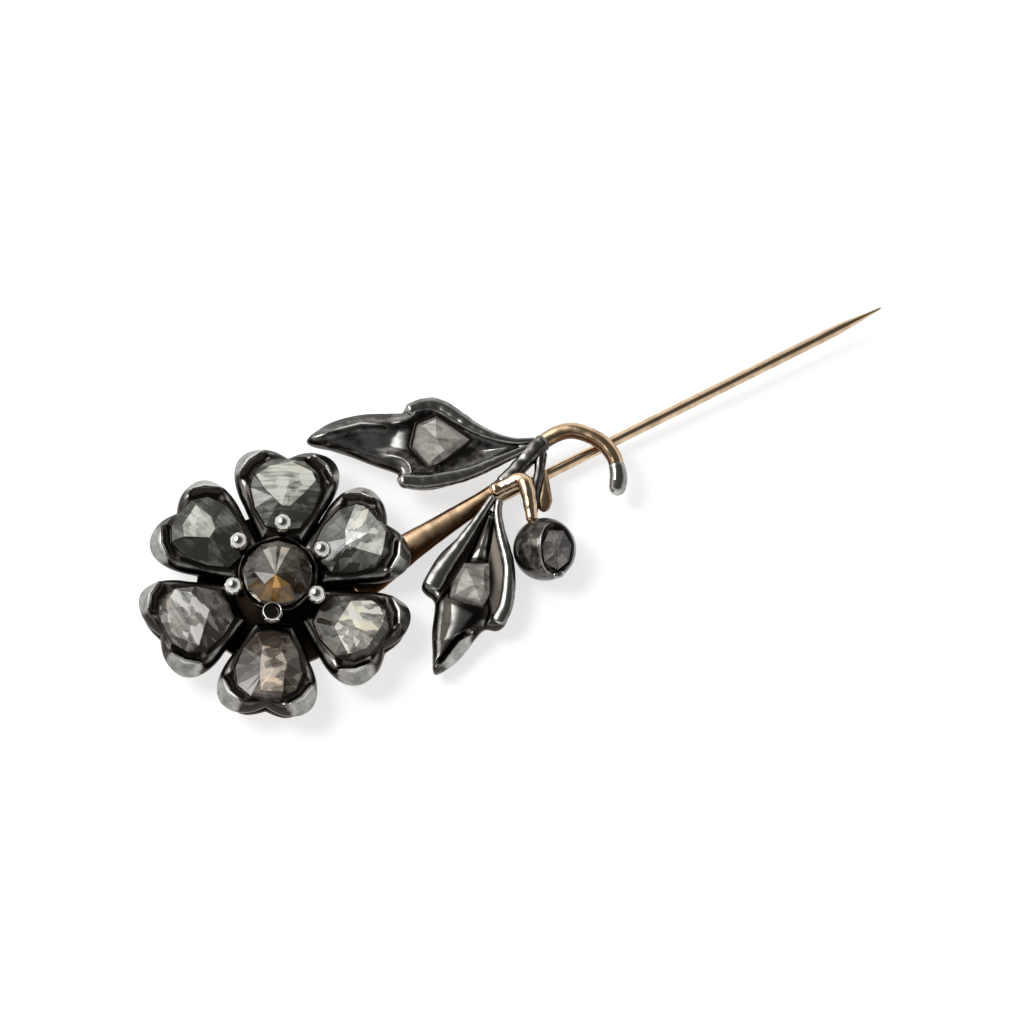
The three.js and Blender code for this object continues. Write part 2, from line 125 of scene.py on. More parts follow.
def ramp_between(tree, value, low, high, to_low=0.0, to_high=1.0):
    """A Map Range node that eases smoothly from one value to another."""
    limits = {"From Min": low, "From Max": high, "To Min": to_low, "To Max": to_high}
    node = add_node(tree, "ShaderNodeMapRange", limits, interpolation_type="SMOOTHSTEP")
    link(tree, *value, node, "Value")
    return node


LOW_SKY = 1.0
HIGH_SKY = 0.10
SIDE_LAMP = 2.6
LAMP_DIRECTION = Vector((-0.3, 0.62, 0.72)).normalized()
SUN_DIRECTION = Vector((-0.75, 0.62, 1.5))


def studio_sky():
    """Sky brightness falls from the horizon to overhead, with one wide lamp on the left."""
    world = bpy.data.worlds.new("studio")
    world.use_nodes = True
    tree = world.node_tree
    tree.nodes.clear()
    place = add_node(tree, "ShaderNodeTexCoord")
    parts = add_node(tree, "ShaderNodeSeparateXYZ")
    link(tree, place, "Generated", parts, "Vector")
    height = ramp_between(tree, (parts, "Z"), 0.4, 0.82, LOW_SKY, HIGH_SKY)
    towards = add_node(tree, "ShaderNodeVectorMath", {1: LAMP_DIRECTION}, operation="DOT_PRODUCT")
    link(tree, place, "Generated", towards, 0)
    lamp = ramp_between(tree, (towards, "Value"), 0.88, 0.96, 0.0, SIDE_LAMP)
    total = math_node(tree, "ADD", (height, "Result"), (lamp, "Result"))
    shade = add_node(tree, "ShaderNodeBackground")
    link(tree, total, "Value", shade, "Strength")
    out = add_node(tree, "ShaderNodeOutputWorld")
    link(tree, shade, "Background", out, "Surface")
    return world


bpy.context.scene.world = studio_sky()
sun = bpy.data.lights.new("sun", "SUN")
sun.energy = 1.1
sun.angle = math.radians(24)
sun_lamp = bpy.data.objects.new("sun", sun)
bpy.context.scene.collection.objects.link(sun_lamp)
sun_lamp.rotation_euler = SUN_DIRECTION.to_track_quat("Z", "Y").to_euler()
print("sky from", LOW_SKY, "at the horizon to", HIGH_SKY, "overhead")

# %% [markdown]
# ## From rings to a mesh
#
# Nearly every piece is a stack of closed rings, as on a potter's wheel: the first ring
# closes the piece at one end, the last at the other. If the rings are listed from the
# bottom up and each one runs anticlockwise seen from above, all faces point outwards.


# %% Rings to a finished piece
def ease(low, high, value):
    """Smooth step: 0 below low, 1 above high, and an even S between them."""
    share = np.clip((value - low) / (high - low), 0.0, 1.0)
    return share * share * (3 - 2 * share)


def ring_piece(name, rings, material, stands_for=(), marks=None, tones=None):
    """Closed mesh through a stack of rings, an array (rings, points, 3) in millimetres.
    Neighbouring rings are joined by four-sided faces, and each end ring by a fan to its
    own middle. Marks are named numbers per point that a material can read; they hold wear
    and film and also painted highlights and painted shade. Tones are one number per facet,
    the painted light of a cut stone's facets, and a piece that has them is left flat-faced,
    as a cut stone is."""
    rows, count = rings.shape[:2]
    ends = np.array([rings[0].mean(axis=0), rings[-1].mean(axis=0)])
    points = np.concatenate([rings.reshape(-1, 3), ends]) * MM
    number = np.arange(rows * count).reshape(rows, count)
    turned = np.roll(number, -1, axis=1)
    sides = np.stack([number[:-1], turned[:-1], turned[1:], number[1:]], axis=-1)
    low_fan = np.stack([turned[0], number[0], np.full(count, rows * count)], axis=-1)
    high_fan = np.stack([number[-1], turned[-1], np.full(count, rows * count + 1)], axis=-1)
    mesh = bpy.data.meshes.new(name)
    faces = sides.reshape(-1, 4).tolist() + low_fan.tolist() + high_fan.tolist()
    mesh.from_pydata(points.tolist(), [], faces)
    mesh.polygons.foreach_set("use_smooth", np.full(len(faces), tones is None))
    if tones is not None:
        layer = mesh.attributes.new("tone", "FLOAT", "FACE")
        layer.data.foreach_set("value", tones.astype(np.float32))
    for mark, values in (marks or {}).items():
        layer = mesh.attributes.new(mark, "FLOAT", "POINT")
        spread = np.concatenate([values.ravel(), [values[0].mean(), values[-1].mean()]])
        layer.data.foreach_set("value", spread.astype(np.float32))
    mesh.materials.append(material)
    piece = bpy.data.objects.new(name, mesh)
    bpy.context.scene.collection.objects.link(piece)
    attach(piece, "root")
    if stands_for:
        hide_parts(*stands_for)
    print(f"{name}: {len(faces)} faces")
    return piece


# %% [markdown]
# ## Finishes
#
# Old silver turns black where nothing rubs it and stays bright on its edges. Gold keeps
# its colour but gathers a brown film. The same marks also carry painted light: painted
# highlights where the metal faces the light and painted shade where it is turned away or
# tucked between parts. Each effect that several metals share is a node group, so it is made
# once and given its own values in every material.


# %% Shared effects as node groups
def new_group(name, inputs, outputs):
    """Empty shader node group with float or colour sockets, and its two end nodes."""
    tree = bpy.data.node_groups.new(name, "ShaderNodeTree")
    for label, value in inputs.items():
        socket = tree.interface.new_socket(name=label, in_out="INPUT", socket_type="NodeSocketFloat")
        socket.default_value = value
    for label, kind in outputs.items():
        tree.interface.new_socket(name=label, in_out="OUTPUT", socket_type=kind)
    return tree, tree.nodes.new("NodeGroupInput"), tree.nodes.new("NodeGroupOutput")


def tarnish_group():
    """Black film. One input adds film, for patina in hollows and for painted shade; the next
    takes it away, for worn places and for painted highlights; the rest is cloudy.
    Film = clouds * Cloudiness + Amount + added film - film taken away, kept between 0 and 1."""
    tree, given, result = new_group(
        "tarnish film",
        {"Film And Shade": 0.0, "Wear And Highlight": 0.0, "Amount": 0.5, "Cloudiness": 0.3, "Cloud Size": 700.0},
        {"Film": "NodeSocketFloat"},
    )
    place = add_node(tree, "ShaderNodeTexCoord")
    clouds = add_node(tree, "ShaderNodeTexNoise", {"Detail": 6, "Roughness": 0.6})
    link(tree, place, "Object", clouds, "Vector")
    link(tree, given, "Cloud Size", clouds, "Scale")
    cloudy = ramp_between(tree, (clouds, "Fac"), 0.35, 0.68)
    film = math_node(tree, "MULTIPLY", (cloudy, "Result"), (given, "Cloudiness"))
    film = math_node(tree, "ADD", (film, "Value"), (given, "Amount"))
    film = math_node(tree, "ADD", (film, "Value"), (given, "Film And Shade"))
    film = math_node(tree, "SUBTRACT", (film, "Value"), (given, "Wear And Highlight"), clamp=True)
    link(tree, film, "Value", result, "Film")
    return tree


def scratches_group():
    """Fine hand polishing: long thin noise in two directions, as a height and a mask."""
    tree, given, result = new_group(
        "polishing marks",
        {"Fineness": 9000.0},
        {"Height": "NodeSocketFloat"},
    )
    place = add_node(tree, "ShaderNodeTexCoord")
    heights = []
    for turn in (0.5, -0.9):
        stretch = {"Rotation": (0.3, 0.2, turn), "Scale": (8, 1, 1)}
        lay = add_node(tree, "ShaderNodeMapping", stretch, vector_type="TEXTURE")
        link(tree, place, "Object", lay, "Vector")
        noise = add_node(tree, "ShaderNodeTexNoise", {"Detail": 3})
        link(tree, lay, "Vector", noise, "Vector")
        link(tree, given, "Fineness", noise, "Scale")
        heights.append(noise)
    both = math_node(tree, "MULTIPLY", (heights[0], "Fac"), (heights[1], "Fac"))
    link(tree, both, "Value", result, "Height")
    return tree


TARNISH = tarnish_group()
SCRATCHES = scratches_group()
print("node groups:", TARNISH.name, "and", SCRATCHES.name)


# %% Metals
def new_material(name):
    """Empty node material with its output and one Principled shader."""
    material = bpy.data.materials.new(name)
    material.use_nodes = True
    tree = material.node_tree
    tree.nodes.clear()
    out = add_node(tree, "ShaderNodeOutputMaterial")
    shader = add_node(tree, "ShaderNodeBsdfPrincipled")
    link(tree, shader, "BSDF", out, "Surface")
    return material, tree, shader


def mark_value(tree, name):
    """The number that a piece's points carry under this name; 0 where there is none."""
    return add_node(tree, "ShaderNodeAttribute", attribute_name=name, attribute_type="GEOMETRY")


def use_group(tree, group, **values):
    """Places a node group in a material with its own plain values."""
    node = add_node(tree, "ShaderNodeGroup", node_tree=group)
    set_sockets(node, {label.replace("_", " "): value for label, value in values.items()})
    return node


BUMP_DEPTH = 0.00002


def old_metal(
    name, clean, film, amount, cloudy, roughness, film_roughness, cloud=1100.0, scratch=0.25, soot=0.0
):
    """Metal that shows its clean colour where it is worn or painted with a highlight, and the
    film's colour in hollows and where shade is painted. The darkening value adds film to
    every face that doesn't look down, as painted shade."""
    material, tree, shader = new_material(name)
    tarnish = use_group(tree, TARNISH, Amount=amount, Cloudiness=cloudy, Cloud_Size=cloud)
    film_and_shade = (mark_value(tree, "film_and_shade"), "Fac")
    # Painted shade: faces that don't look down get more film
    if soot:
        facing = add_node(tree, "ShaderNodeNewGeometry")
        parts = add_node(tree, "ShaderNodeSeparateXYZ")
        link(tree, facing, "Normal", parts, "Vector")
        painted_shade = ramp_between(tree, (parts, "Z"), -0.7, -0.3, 0.0, soot)
        film_and_shade = (math_node(tree, "ADD", film_and_shade, (painted_shade, "Result")), "Value")
    link(tree, *film_and_shade, tarnish, "Film And Shade")
    link(tree, mark_value(tree, "wear_and_highlight"), "Fac", tarnish, "Wear And Highlight")
    blend = add_node(tree, "ShaderNodeMix", {"A": (*clean, 1), "B": (*film, 1)}, data_type="RGBA")
    link(tree, tarnish, "Film", blend, "Factor")
    link(tree, blend, "Result", shader, "Base Color")
    gloss = ramp_between(tree, (tarnish, "Film"), 0, 1, roughness, film_roughness)
    link(tree, gloss, "Result", shader, "Roughness")
    marks = use_group(tree, SCRATCHES)
    bump = add_node(tree, "ShaderNodeBump", {"Strength": scratch, "Distance": BUMP_DEPTH})
    link(tree, marks, "Height", bump, "Height")
    link(tree, bump, "Normal", shader, "Normal")
    shader.inputs["Metallic"].default_value = 1
    return material


# Clean colour, film colour, how much film and how cloudy it is, roughness of the metal and
# of the film, then the size of the clouds, the scratches and the painted shade on faces that
# don't look down, where they differ
METALS = {
    "blackened silver": ((0.76, 0.745, 0.71), (0.04, 0.035, 0.03), 0.66, 0.22, 0.14, 0.24),
    "red gold": ((0.90, 0.67, 0.45), (0.13, 0.07, 0.035), 0.22, 0.35, 0.13, 0.26, 600.0),
    "brown gold": ((0.92, 0.66, 0.42), (0.12, 0.055, 0.025), 0.62, 0.45, 0.15, 0.28, 450.0),
    "gold plate": ((0.80, 0.57, 0.36), (0.03, 0.02, 0.014), 0.5, 0.4, 0.25, 0.45, 500.0, 0.25, 0.9),
    "crinkled foil": ((0.82, 0.78, 0.68), (0.35, 0.29, 0.2), 0.1, 0.4, 0.2, 0.4, 900.0, 0.9),
}
blackened_silver, red_gold, brown_gold, gold_plate, crinkled_foil = (
    old_metal(name, *values) for name, values in METALS.items()
)
print("metals:", ", ".join(METALS))


# %% [markdown]
# ## Diamond
#
# An old rose cut diamond over foil is not clear like a modern one. Its flat facets show
# slices of the foil beneath, so one is nearly white and its neighbour nearly black, and
# inside each the light is broken again by growth lines and small inner faces. Here that
# light is painted: each facet carries its own painted tone, a painted reflection of the
# foil, and the material adds the lines and paints the broken light and the sparks.


# %% Broken light as a node group
def broken_light_group():
    """Two numbers over a stone, both painted light. Tone is the facet's own painted tone, moved
    up and down by growth lines, by soft clouds and by small inner faces, each with one random
    tone. Spark, a painted glint, is 1 on the few brightest inner faces."""
    tree, given, result = new_group(
        "broken light",
        {"Facet": 0.5, "Turn": 0.0, "Lines": 0.2, "Faces": 0.3, "Clouds": 0.2, "Face Size": 1300.0},
        {"Tone": "NodeSocketFloat", "Spark": "NodeSocketFloat", "Lines": "NodeSocketFloat"},
    )
    place = add_node(tree, "ShaderNodeTexCoord")
    turned = add_node(tree, "ShaderNodeVectorRotate", rotation_type="Z_AXIS")
    link(tree, place, "Object", turned, "Vector")
    link(tree, given, "Turn", turned, "Angle")
    thin = add_node(tree, "ShaderNodeVectorMath", {1: (230, 2600, 600)}, operation="MULTIPLY")
    link(tree, turned, "Vector", thin, 0)
    lines = add_node(tree, "ShaderNodeTexNoise", {"Scale": 1.0, "Detail": 4})
    link(tree, thin, "Vector", lines, "Vector")
    clouds = add_node(tree, "ShaderNodeTexNoise", {"Scale": 700, "Detail": 8, "Roughness": 0.65})
    link(tree, place, "Object", clouds, "Vector")
    bent = add_node(tree, "ShaderNodeVectorMath", {1: (0.0009, 0.0009, 0.0009)}, operation="MULTIPLY_ADD")
    link(tree, clouds, "Color", bent, 0)
    link(tree, turned, "Vector", bent, 2)
    long_cells = add_node(tree, "ShaderNodeVectorMath", {1: (0.55, 1.0, 0.4)}, operation="MULTIPLY")
    link(tree, bent, "Vector", long_cells, 0)
    cells = add_node(tree, "ShaderNodeTexVoronoi")
    link(tree, given, "Face Size", cells, "Scale")
    link(tree, long_cells, "Vector", cells, "Vector")
    face = add_node(tree, "ShaderNodeSeparateColor")
    link(tree, cells, "Color", face, "Color")
    contrast = math_node(tree, "ADD", (given, "Facet"), 0.25)
    changes = 0.0
    sources = ((lines, "Fac", "Lines"), (clouds, "Fac", "Clouds"), (face, "Red", "Faces"))
    for source, output, weight in sources:
        wave = ramp_between(tree, (source, output), 0.3, 0.7, -1.0, 1.0)
        part = math_node(tree, "MULTIPLY", (wave, "Result"), (given, weight))
        changes = (math_node(tree, "ADD", changes, (part, "Value")), "Value")
    scaled = math_node(tree, "MULTIPLY", changes, (contrast, "Value"))
    tone = math_node(tree, "ADD", (given, "Facet"), (scaled, "Value"), clamp=True)
    link(tree, tone, "Value", result, "Tone")
    few = ramp_between(tree, (face, "Green"), 0.72, 0.8)
    spark = math_node(tree, "MULTIPLY", (few, "Result"), (tone, "Value"), clamp=True)
    link(tree, spark, "Value", result, "Spark")
    link(tree, lines, "Fac", result, "Lines")
    return tree


BROKEN_LIGHT = broken_light_group()


# %% Diamond material
def rose_diamond(name, tint, shade, warm, turn=0.0, lines=0.2, faces=0.3, warmth=0.3, clear=0.15):
    """Foil-backed stone: shade to tint by the painted tone, with painted warm sparks on some
    inner faces. A facet whose tone has 2 added to it is painted warm all over, a painted warm
    reflection."""
    material, tree, shader = new_material(name)
    light = use_group(tree, BROKEN_LIGHT, Turn=turn, Lines=lines, Faces=faces)
    mark = mark_value(tree, "tone")
    warm_facet = ramp_between(tree, (mark, "Fac"), 1.4, 1.5)
    extra = math_node(tree, "MULTIPLY", (warm_facet, "Result"), 2.0)
    facet = math_node(tree, "SUBTRACT", (mark, "Fac"), (extra, "Value"))
    link(tree, facet, "Value", light, "Facet")
    glow = math_node(tree, "MULTIPLY", (light, "Spark"), warmth)
    warmed = math_node(tree, "MAXIMUM", (glow, "Value"), (warm_facet, "Result"))
    pale = add_node(tree, "ShaderNodeMix", {"A": (*tint, 1), "B": (*warm, 1)}, data_type="RGBA")
    link(tree, warmed, "Value", pale, "Factor")
    body = add_node(tree, "ShaderNodeMix", {"A": (*shade, 1)}, data_type="RGBA")
    link(tree, pale, "Result", body, "B")
    link(tree, light, "Tone", body, "Factor")
    link(tree, body, "Result", shader, "Base Color")
    bump = add_node(tree, "ShaderNodeBump", {"Strength": 0.5, "Distance": BUMP_DEPTH})
    link(tree, light, "Lines", bump, "Height")
    link(tree, bump, "Normal", shader, "Normal")
    set_sockets(shader, {"Roughness": 0.14, "IOR": 1.55, "Transmission Weight": clear, "Metallic": 0.0})
    return material


print("node group:", BROKEN_LIGHT.name)

# %% [markdown]
# ## Outlines
#
# A petal and a leaf are both flat shapes with a rim, seen from above. Their outlines are
# closed curves, and a point inside is found by its direction from the middle and its share
# of the way from the stone's edge to the rim.

# %% Closed curves
OUTLINE_POINTS = 1440


def polygon(corners):
    """Points evenly spread along a closed polygon's straight sides."""
    loop = np.vstack([corners, corners[:1]]).astype(float)
    steps = np.hypot(*np.diff(loop, axis=0).T)
    travelled = np.concatenate([[0], np.cumsum(steps)])
    at = np.linspace(0, travelled[-1], OUTLINE_POINTS, endpoint=False)
    return np.column_stack([np.interp(at, travelled, loop[:, axis]) for axis in (0, 1)])


def smooth_loop(corners, each=24):
    """Closed curve through the corners: a Catmull-Rom cubic between each two neighbours."""
    corners = np.array(corners, float)
    t = np.linspace(0, 1, each, endpoint=False)[None, :, None]
    before, here, after, beyond = (np.roll(corners, shift, axis=0)[:, None] for shift in (1, 0, -1, -2))
    curve = 0.5 * (
        2 * here
        + (after - before) * t
        + (2 * before - 5 * here + 4 * after - beyond) * t**2
        + (3 * here - before - 3 * after + beyond) * t**3
    )
    return curve.reshape(-1, 2)


def reach(outline, angles):
    """How far the outline lies from the middle in each direction, by straight-line lookup."""
    bearing = np.arctan2(outline[:, 1], outline[:, 0])
    order = np.argsort(bearing)
    return np.interp(angles, bearing[order], np.hypot(*outline[order].T), period=2 * math.pi)


def distance_to(outline, x, y):
    """Shortest distance from each point to the outline's own points."""
    nearest = np.full(x.shape, 1e9)
    for start in range(0, len(outline), 60):
        part = outline[start : start + 60]
        gap = np.hypot(x[..., None] - part[:, 0], y[..., None] - part[:, 1])
        nearest = np.minimum(nearest, gap.min(axis=-1))
    return nearest


def beside_ridge(line, x, y):
    """Distance to an open line of points, the share of its length at the nearest place,
    and the side: positive where the point is farther from the middle than the line."""
    line = np.array(line, float)
    lengths = np.hypot(*np.diff(line, axis=0).T)
    starts = np.concatenate([[0], np.cumsum(lengths)])
    best = np.full(x.shape, 1e9)
    share = np.zeros(x.shape)
    side = np.ones(x.shape)
    for a, b, length, start in zip(line[:-1], line[1:], lengths, starts):
        step = (b - a) / length
        travelled = np.clip((x - a[0]) * step[0] + (y - a[1]) * step[1], 0, length)
        dx = x - a[0] - step[0] * travelled
        dy = y - a[1] - step[1] * travelled
        gap = np.hypot(dx, dy)
        closer = gap < best
        best = np.where(closer, gap, best)
        share = np.where(closer, (start + travelled) / starts[-1], share)
        outward = np.array([step[1], -step[0]])
        outward = outward * np.sign(outward @ ((a + b) / 2))
        side = np.where(closer, np.sign(dx * outward[0] + dy * outward[1] + 1e-12), side)
    return best, share, side


print("outline points:", OUTLINE_POINTS)

# %% [markdown]
# ## A silver setting
#
# The smith raises a cup of silver, rounds its sides over, and cuts the ends with a graver.
# Each cut leaves a sharp straight ridge, with a bevel outside it and a groove inside. The
# height of the metal is therefore a sum of simple parts: a rounded border that depends on
# the distance to the rim, and for each ridge a bevel and a groove that depend on the
# distance to the ridge. The bevel is painted a little lighter, as worn metal and as painted
# sheen, its crest carries a painted highlight, and the groove is painted dark, patina and
# painted shade together.

# %% Setting surface
COLUMNS = 360
ROWS = 84


def ridge(line, crest, floor, breadth, shine=1.0, soot=0.0, glint=0.8, inner=0.55):
    """One graver cut: its line, the height of its crest, the floor and breadth of the groove
    inside it, how much the metal outside it is lightened, as wear and painted sheen, and
    darkened, as a painted dark reflection, how bright the painted highlight on its crest is
    and how dark the groove is painted, as patina and painted shade."""
    return dict(
        line=line, crest=crest, floor=floor, breadth=breadth,
        shine=shine, soot=soot, glint=glint, inner=inner,
    )


def setting_height(x, y, edge, shape):
    """Height of the metal and its two marks. The border is a quarter of an ellipse that
    rises from the rim over the width roll. A slope lifts the metal steadily along x, and a
    dome is half an ellipse across a line. A ridge replaces them nearby: outside, a straight
    bevel from the crest to the rim; inside, a fall to the groove's floor and a slow rise.
    The darkening value makes all the metal inside the border darker, and a patch is a
    painted highlight that clears the film again."""
    rim, border, lip = shape["rim"], shape["border"], shape["lip"]
    rise = np.sqrt(np.clip(1 - (1 - np.clip(edge / shape["roll"], 0, 1)) ** 2, 0, 1))
    height = rim + (border - rim) * rise + (lip - border) * ease(0.7, 2.4, edge)
    for start, end, lift in shape.get("slopes", []):
        steady = lift * ease(start, end, x) * ease(end - 3.2, end - 2.2, x)
        height = height + steady * ease(0.6, 1.4, edge)
    for line, breadth, top in shape.get("domes", []):
        line = np.array(line, float)
        gap, share, _ = beside_ridge(line, x, y)
        wide = np.interp(share, np.linspace(0, 1, len(breadth)), breadth)
        bulge = rim + (top - rim) * np.sqrt(np.clip(1 - (gap / wide) ** 2, 0, 1))
        height = np.where(gap < wide, np.maximum(bulge, np.minimum(height, rim + 0.3)), height)
    # Painted sheen on a band just inside the rim, and painted shade on the rolled rim where the parts meet;
    # the darkening value darkens the rest inside the border
    wear_and_highlight = 0.12 * ease(0.5, 0.9, edge) * ease(1.6, 1.1, edge)
    film_and_shade = np.maximum(0.45 * ease(0.55, 0.05, edge), shape.get("soot", 0.0) * ease(0.6, 1.3, edge))
    for cut in shape["ridges"]:
        gap, share, side = beside_ridge(cut["line"], x, y)
        fade = ease(0, 0.22, share) * ease(1, 0.78, share)
        crest, floor, breadth = cut["crest"], cut["floor"], cut["breadth"]
        bevel = crest - (crest - rim) * (gap / (gap + edge + 1e-9)) ** 1.1
        fall = crest + (floor - crest) * ease(0.03, 0.34 * breadth, gap)
        inside = fall + (height - fall) * ease(0.4 * breadth, breadth, gap)
        outside = side > 0
        here = fade * np.where(outside, 1.0, 1 - ease(0.8 * breadth, breadth, gap))
        height = height * (1 - here) + np.where(outside, bevel, inside) * here
        # Painted highlight: a thin lens of light along the middle of each crest
        middle = ease(0.1, 0.45, share) * ease(0.9, 0.55, share)
        painted_glint = cut["glint"] * np.exp(-((gap / (0.05 + 0.12 * middle)) ** 2)) * middle
        wear_and_highlight = np.maximum(wear_and_highlight, np.where(outside, here * cut["shine"], 0))
        wear_and_highlight = np.maximum(wear_and_highlight, painted_glint)
        # The groove inside a cut is painted dark, patina and painted shade; outside it, the darkening value
        # paints a dark reflection
        dark = ease(0.05, 0.35, gap) * (1 - ease(0.7 * breadth, breadth, gap))
        soot = np.where(outside, cut["soot"], cut["inner"] * dark)
        film_and_shade = np.maximum(film_and_shade * np.where(outside, 1 - here, 1.0), here * soot - painted_glint)
    # Each patch is a painted highlight: a pool of reflected light painted as clean metal
    for patch, shine in shape.get("highlight_patches", []):
        patch = np.array(patch, float)
        middle = patch.mean(axis=0)
        angles = np.arctan2(y - middle[1], x - middle[0])
        room = reach(polygon(patch - middle), angles.ravel()).reshape(x.shape)
        inside = ease(-0.3, 1.1, room - np.hypot(x - middle[0], y - middle[1]))
        wear_and_highlight = np.maximum(wear_and_highlight, shine * inside)
        film_and_shade = film_and_shade * (1 - inside)
    return height, wear_and_highlight, np.clip(film_and_shade, 0, 1)


def setting_rings(outline, girdle, shape):
    """Rings from the closed underside, out round the rim, in over the top to the stone's
    edge and down into its well. Returns the local rings and the two marks: wear with painted
    highlights, and film with painted shade."""
    steps = np.hypot(*(np.roll(outline, -1, axis=0) - outline).T)
    travelled = np.concatenate([[0], np.cumsum(steps)])
    at = np.linspace(0, travelled[-1], COLUMNS, endpoint=False)
    closed = np.vstack([outline, outline[:1]])
    rim = np.column_stack([np.interp(at, travelled, closed[:, axis]) for axis in (0, 1)])
    angles = np.sort(np.arctan2(rim[:, 1], rim[:, 0]))
    outer = reach(outline, angles)
    inner = reach(girdle, angles)
    cos, sin = np.cos(angles), np.sin(angles)

    def ring(radius, height):
        return np.stack([radius * cos, radius * sin, np.full(radius.shape, float(height))], axis=-1)

    turn = np.linspace(0, math.pi / 2, 7)[:-1]
    tuck = 0.8
    under = [ring(inner * 0.6 + outer * 0.4, 0)]
    under += [ring(outer - tuck * (1 - math.sin(a)), shape["rim"] * (1 - math.cos(a))) for a in turn]
    share = np.linspace(1, 0, ROWS)[:, None]
    radius = inner + (outer - inner) * share
    x, y = radius * cos, radius * sin
    edge = distance_to(outline[::3], x, y)
    edge[0] = 0
    height, wear_and_highlight, film_and_shade = setting_height(x, y, edge, shape)
    # A dark ring against the stone: patina in the joint and painted shade where metal meets stone
    bezel = ease(0.6, 0.2, radius - inner)
    height = height + 0.12 * ease(0.12, 0.0, radius - inner)
    film_and_shade = np.maximum(film_and_shade, 0.75 * bezel)
    wear_and_highlight = wear_and_highlight * (1 - bezel)
    top = np.stack([x, y, height], axis=-1)
    well = [ring(inner, shape["lip"] - 0.35), ring(inner, shape["seat"])]
    rings = np.concatenate([np.array(under), top, np.array(well)])

    def padded(values, low, high):
        below = np.full((len(under), COLUMNS), low)
        return np.concatenate([below, values, np.full((len(well), COLUMNS), high)])

    # Underside and well painted darker: patina and painted shade under the setting and the stone
    return rings, {"wear_and_highlight": padded(wear_and_highlight, 0.0, 0.0), "film_and_shade": padded(film_and_shade, 0.5, 0.8)}


def tilted(points, pitch, bearing, origin):
    """Turns local points about the y axis by pitch, then about z by bearing, and moves them."""
    x = points[..., 0] * math.cos(pitch) + points[..., 2] * math.sin(pitch)
    z = -points[..., 0] * math.sin(pitch) + points[..., 2] * math.cos(pitch)
    y = points[..., 1]
    return np.stack(
        [
            origin[0] + x * math.cos(bearing) - y * math.sin(bearing),
            origin[1] + x * math.sin(bearing) + y * math.cos(bearing),
            origin[2] + z,
        ],
        axis=-1,
    )


print("a setting has", COLUMNS, "columns")

# %% [markdown]
# ## Rose cut stones
#
# A rose cut has a flat back and a low dome of flat facets. Here a small polygon stands
# above a wider one, and a fan of facets runs from the small polygon to a summit that is
# placed a little off centre, so that each facet takes the light in its own way.


# %% Stone shape
def corner_angles(*outlines):
    """Directions of every corner, with near repeats left out."""
    angles = np.sort(np.concatenate([np.arctan2(o[:, 1], o[:, 0]) for o in outlines]))
    return angles[np.concatenate([[True], np.diff(angles) > 0.03])]


def facet_number(angles, outline):
    """Which side of the outline lies in each direction, counted from its first corner."""
    corners = np.sort(np.arctan2(outline[:, 1], outline[:, 0]))
    return np.searchsorted(corners, angles) % len(corners)


def rose_cut(girdle, crown, summit, heights, tones, flank_tones):
    """Rings of a faceted stone: back, girdle, crown and a small flat summit. Each side of
    the crown polygon has one tone, and so has each side of the girdle polygon."""
    girdle, crown, summit = (np.array(part, float) for part in (girdle, crown, summit))
    angles = corner_angles(girdle, crown)
    directions = np.column_stack([np.cos(angles), np.sin(angles)])
    limit = reach(polygon(girdle), angles)
    wide = directions * (limit - 0.04)[:, None]
    small = directions * np.minimum(reach(polygon(crown), angles), limit - 0.2)[:, None]
    top = summit + (small - summit) * 0.03
    levels = list(zip((wide, wide, small, top), heights))
    rings = np.array([np.column_stack([ring, np.full(len(ring), height)]) for ring, height in levels])
    ahead = np.append(angles[1:], angles[0] + 2 * math.pi)
    middle = (angles + ahead) / 2
    middle = np.where(middle > math.pi, middle - 2 * math.pi, middle)
    over = np.resize(tones, 24)[facet_number(middle, crown)]
    flank = np.resize(flank_tones, 24)[facet_number(middle, girdle)]
    back_tone = np.full(len(angles), 0.2)
    return rings, np.concatenate([back_tone, flank, over, back_tone, over])


print("stones are fans of flat facets")

# %% [markdown]
# ## Petals
#
# Six heart-shaped petals lean up and outwards round the centre. They share one outline and
# the two graver cuts on their lobes, but each stone was cut to suit itself, so the stones
# are listed one by one.

# %% Petal outline and its two ridges
PETAL_TILT = math.radians(8)
PETAL_ROOT_RADIUS = 4.2
PETAL_ROOT_HEIGHT = 1.15
BACK_AND_GAP = 0.46
PETAL_SHAPE = {"rim": 0.75, "border": 2.0, "lip": 2.1, "seat": 1.2, "roll": 1.3}
STONE_BOTTOM = 1.47


def bezier(a, b, c, d, count=40):
    """Cubic curve from a to d, pulled towards b and c."""
    t = np.linspace(0, 1, count, endpoint=False)[:, None]
    a, b, c, d = (np.array(p, float) for p in (a, b, c, d))
    return (1 - t) ** 3 * a + 3 * (1 - t) ** 2 * t * b + 3 * (1 - t) * t**2 * c + t**3 * d


def petal_outline(long, wide):
    """Heart: x outwards, y across. The lower half is made, and the upper is its mirror."""
    half = np.concatenate(
        [
            bezier((-5.2, 0), (-5.2, -0.7), (-5.2, -1.6), (-5.1, -2.2)),
            bezier((-5.1, -2.2), (-4.0, -2.8), (-2.9, -3.4), (-1.5, -4.1)),
            bezier((-1.5, -4.1), (0.9, -5.65), (4.0, -6.0), (4.4, -2.9)),
            bezier((4.4, -2.9), (4.55, -1.6), (4.0, -0.7), (3.65, 0)),
        ]
    )
    mirror = half[1:][::-1] * np.array([1, -1])
    return polygon(np.vstack([half, [[3.65, 0]], mirror])) * np.array([long, wide])


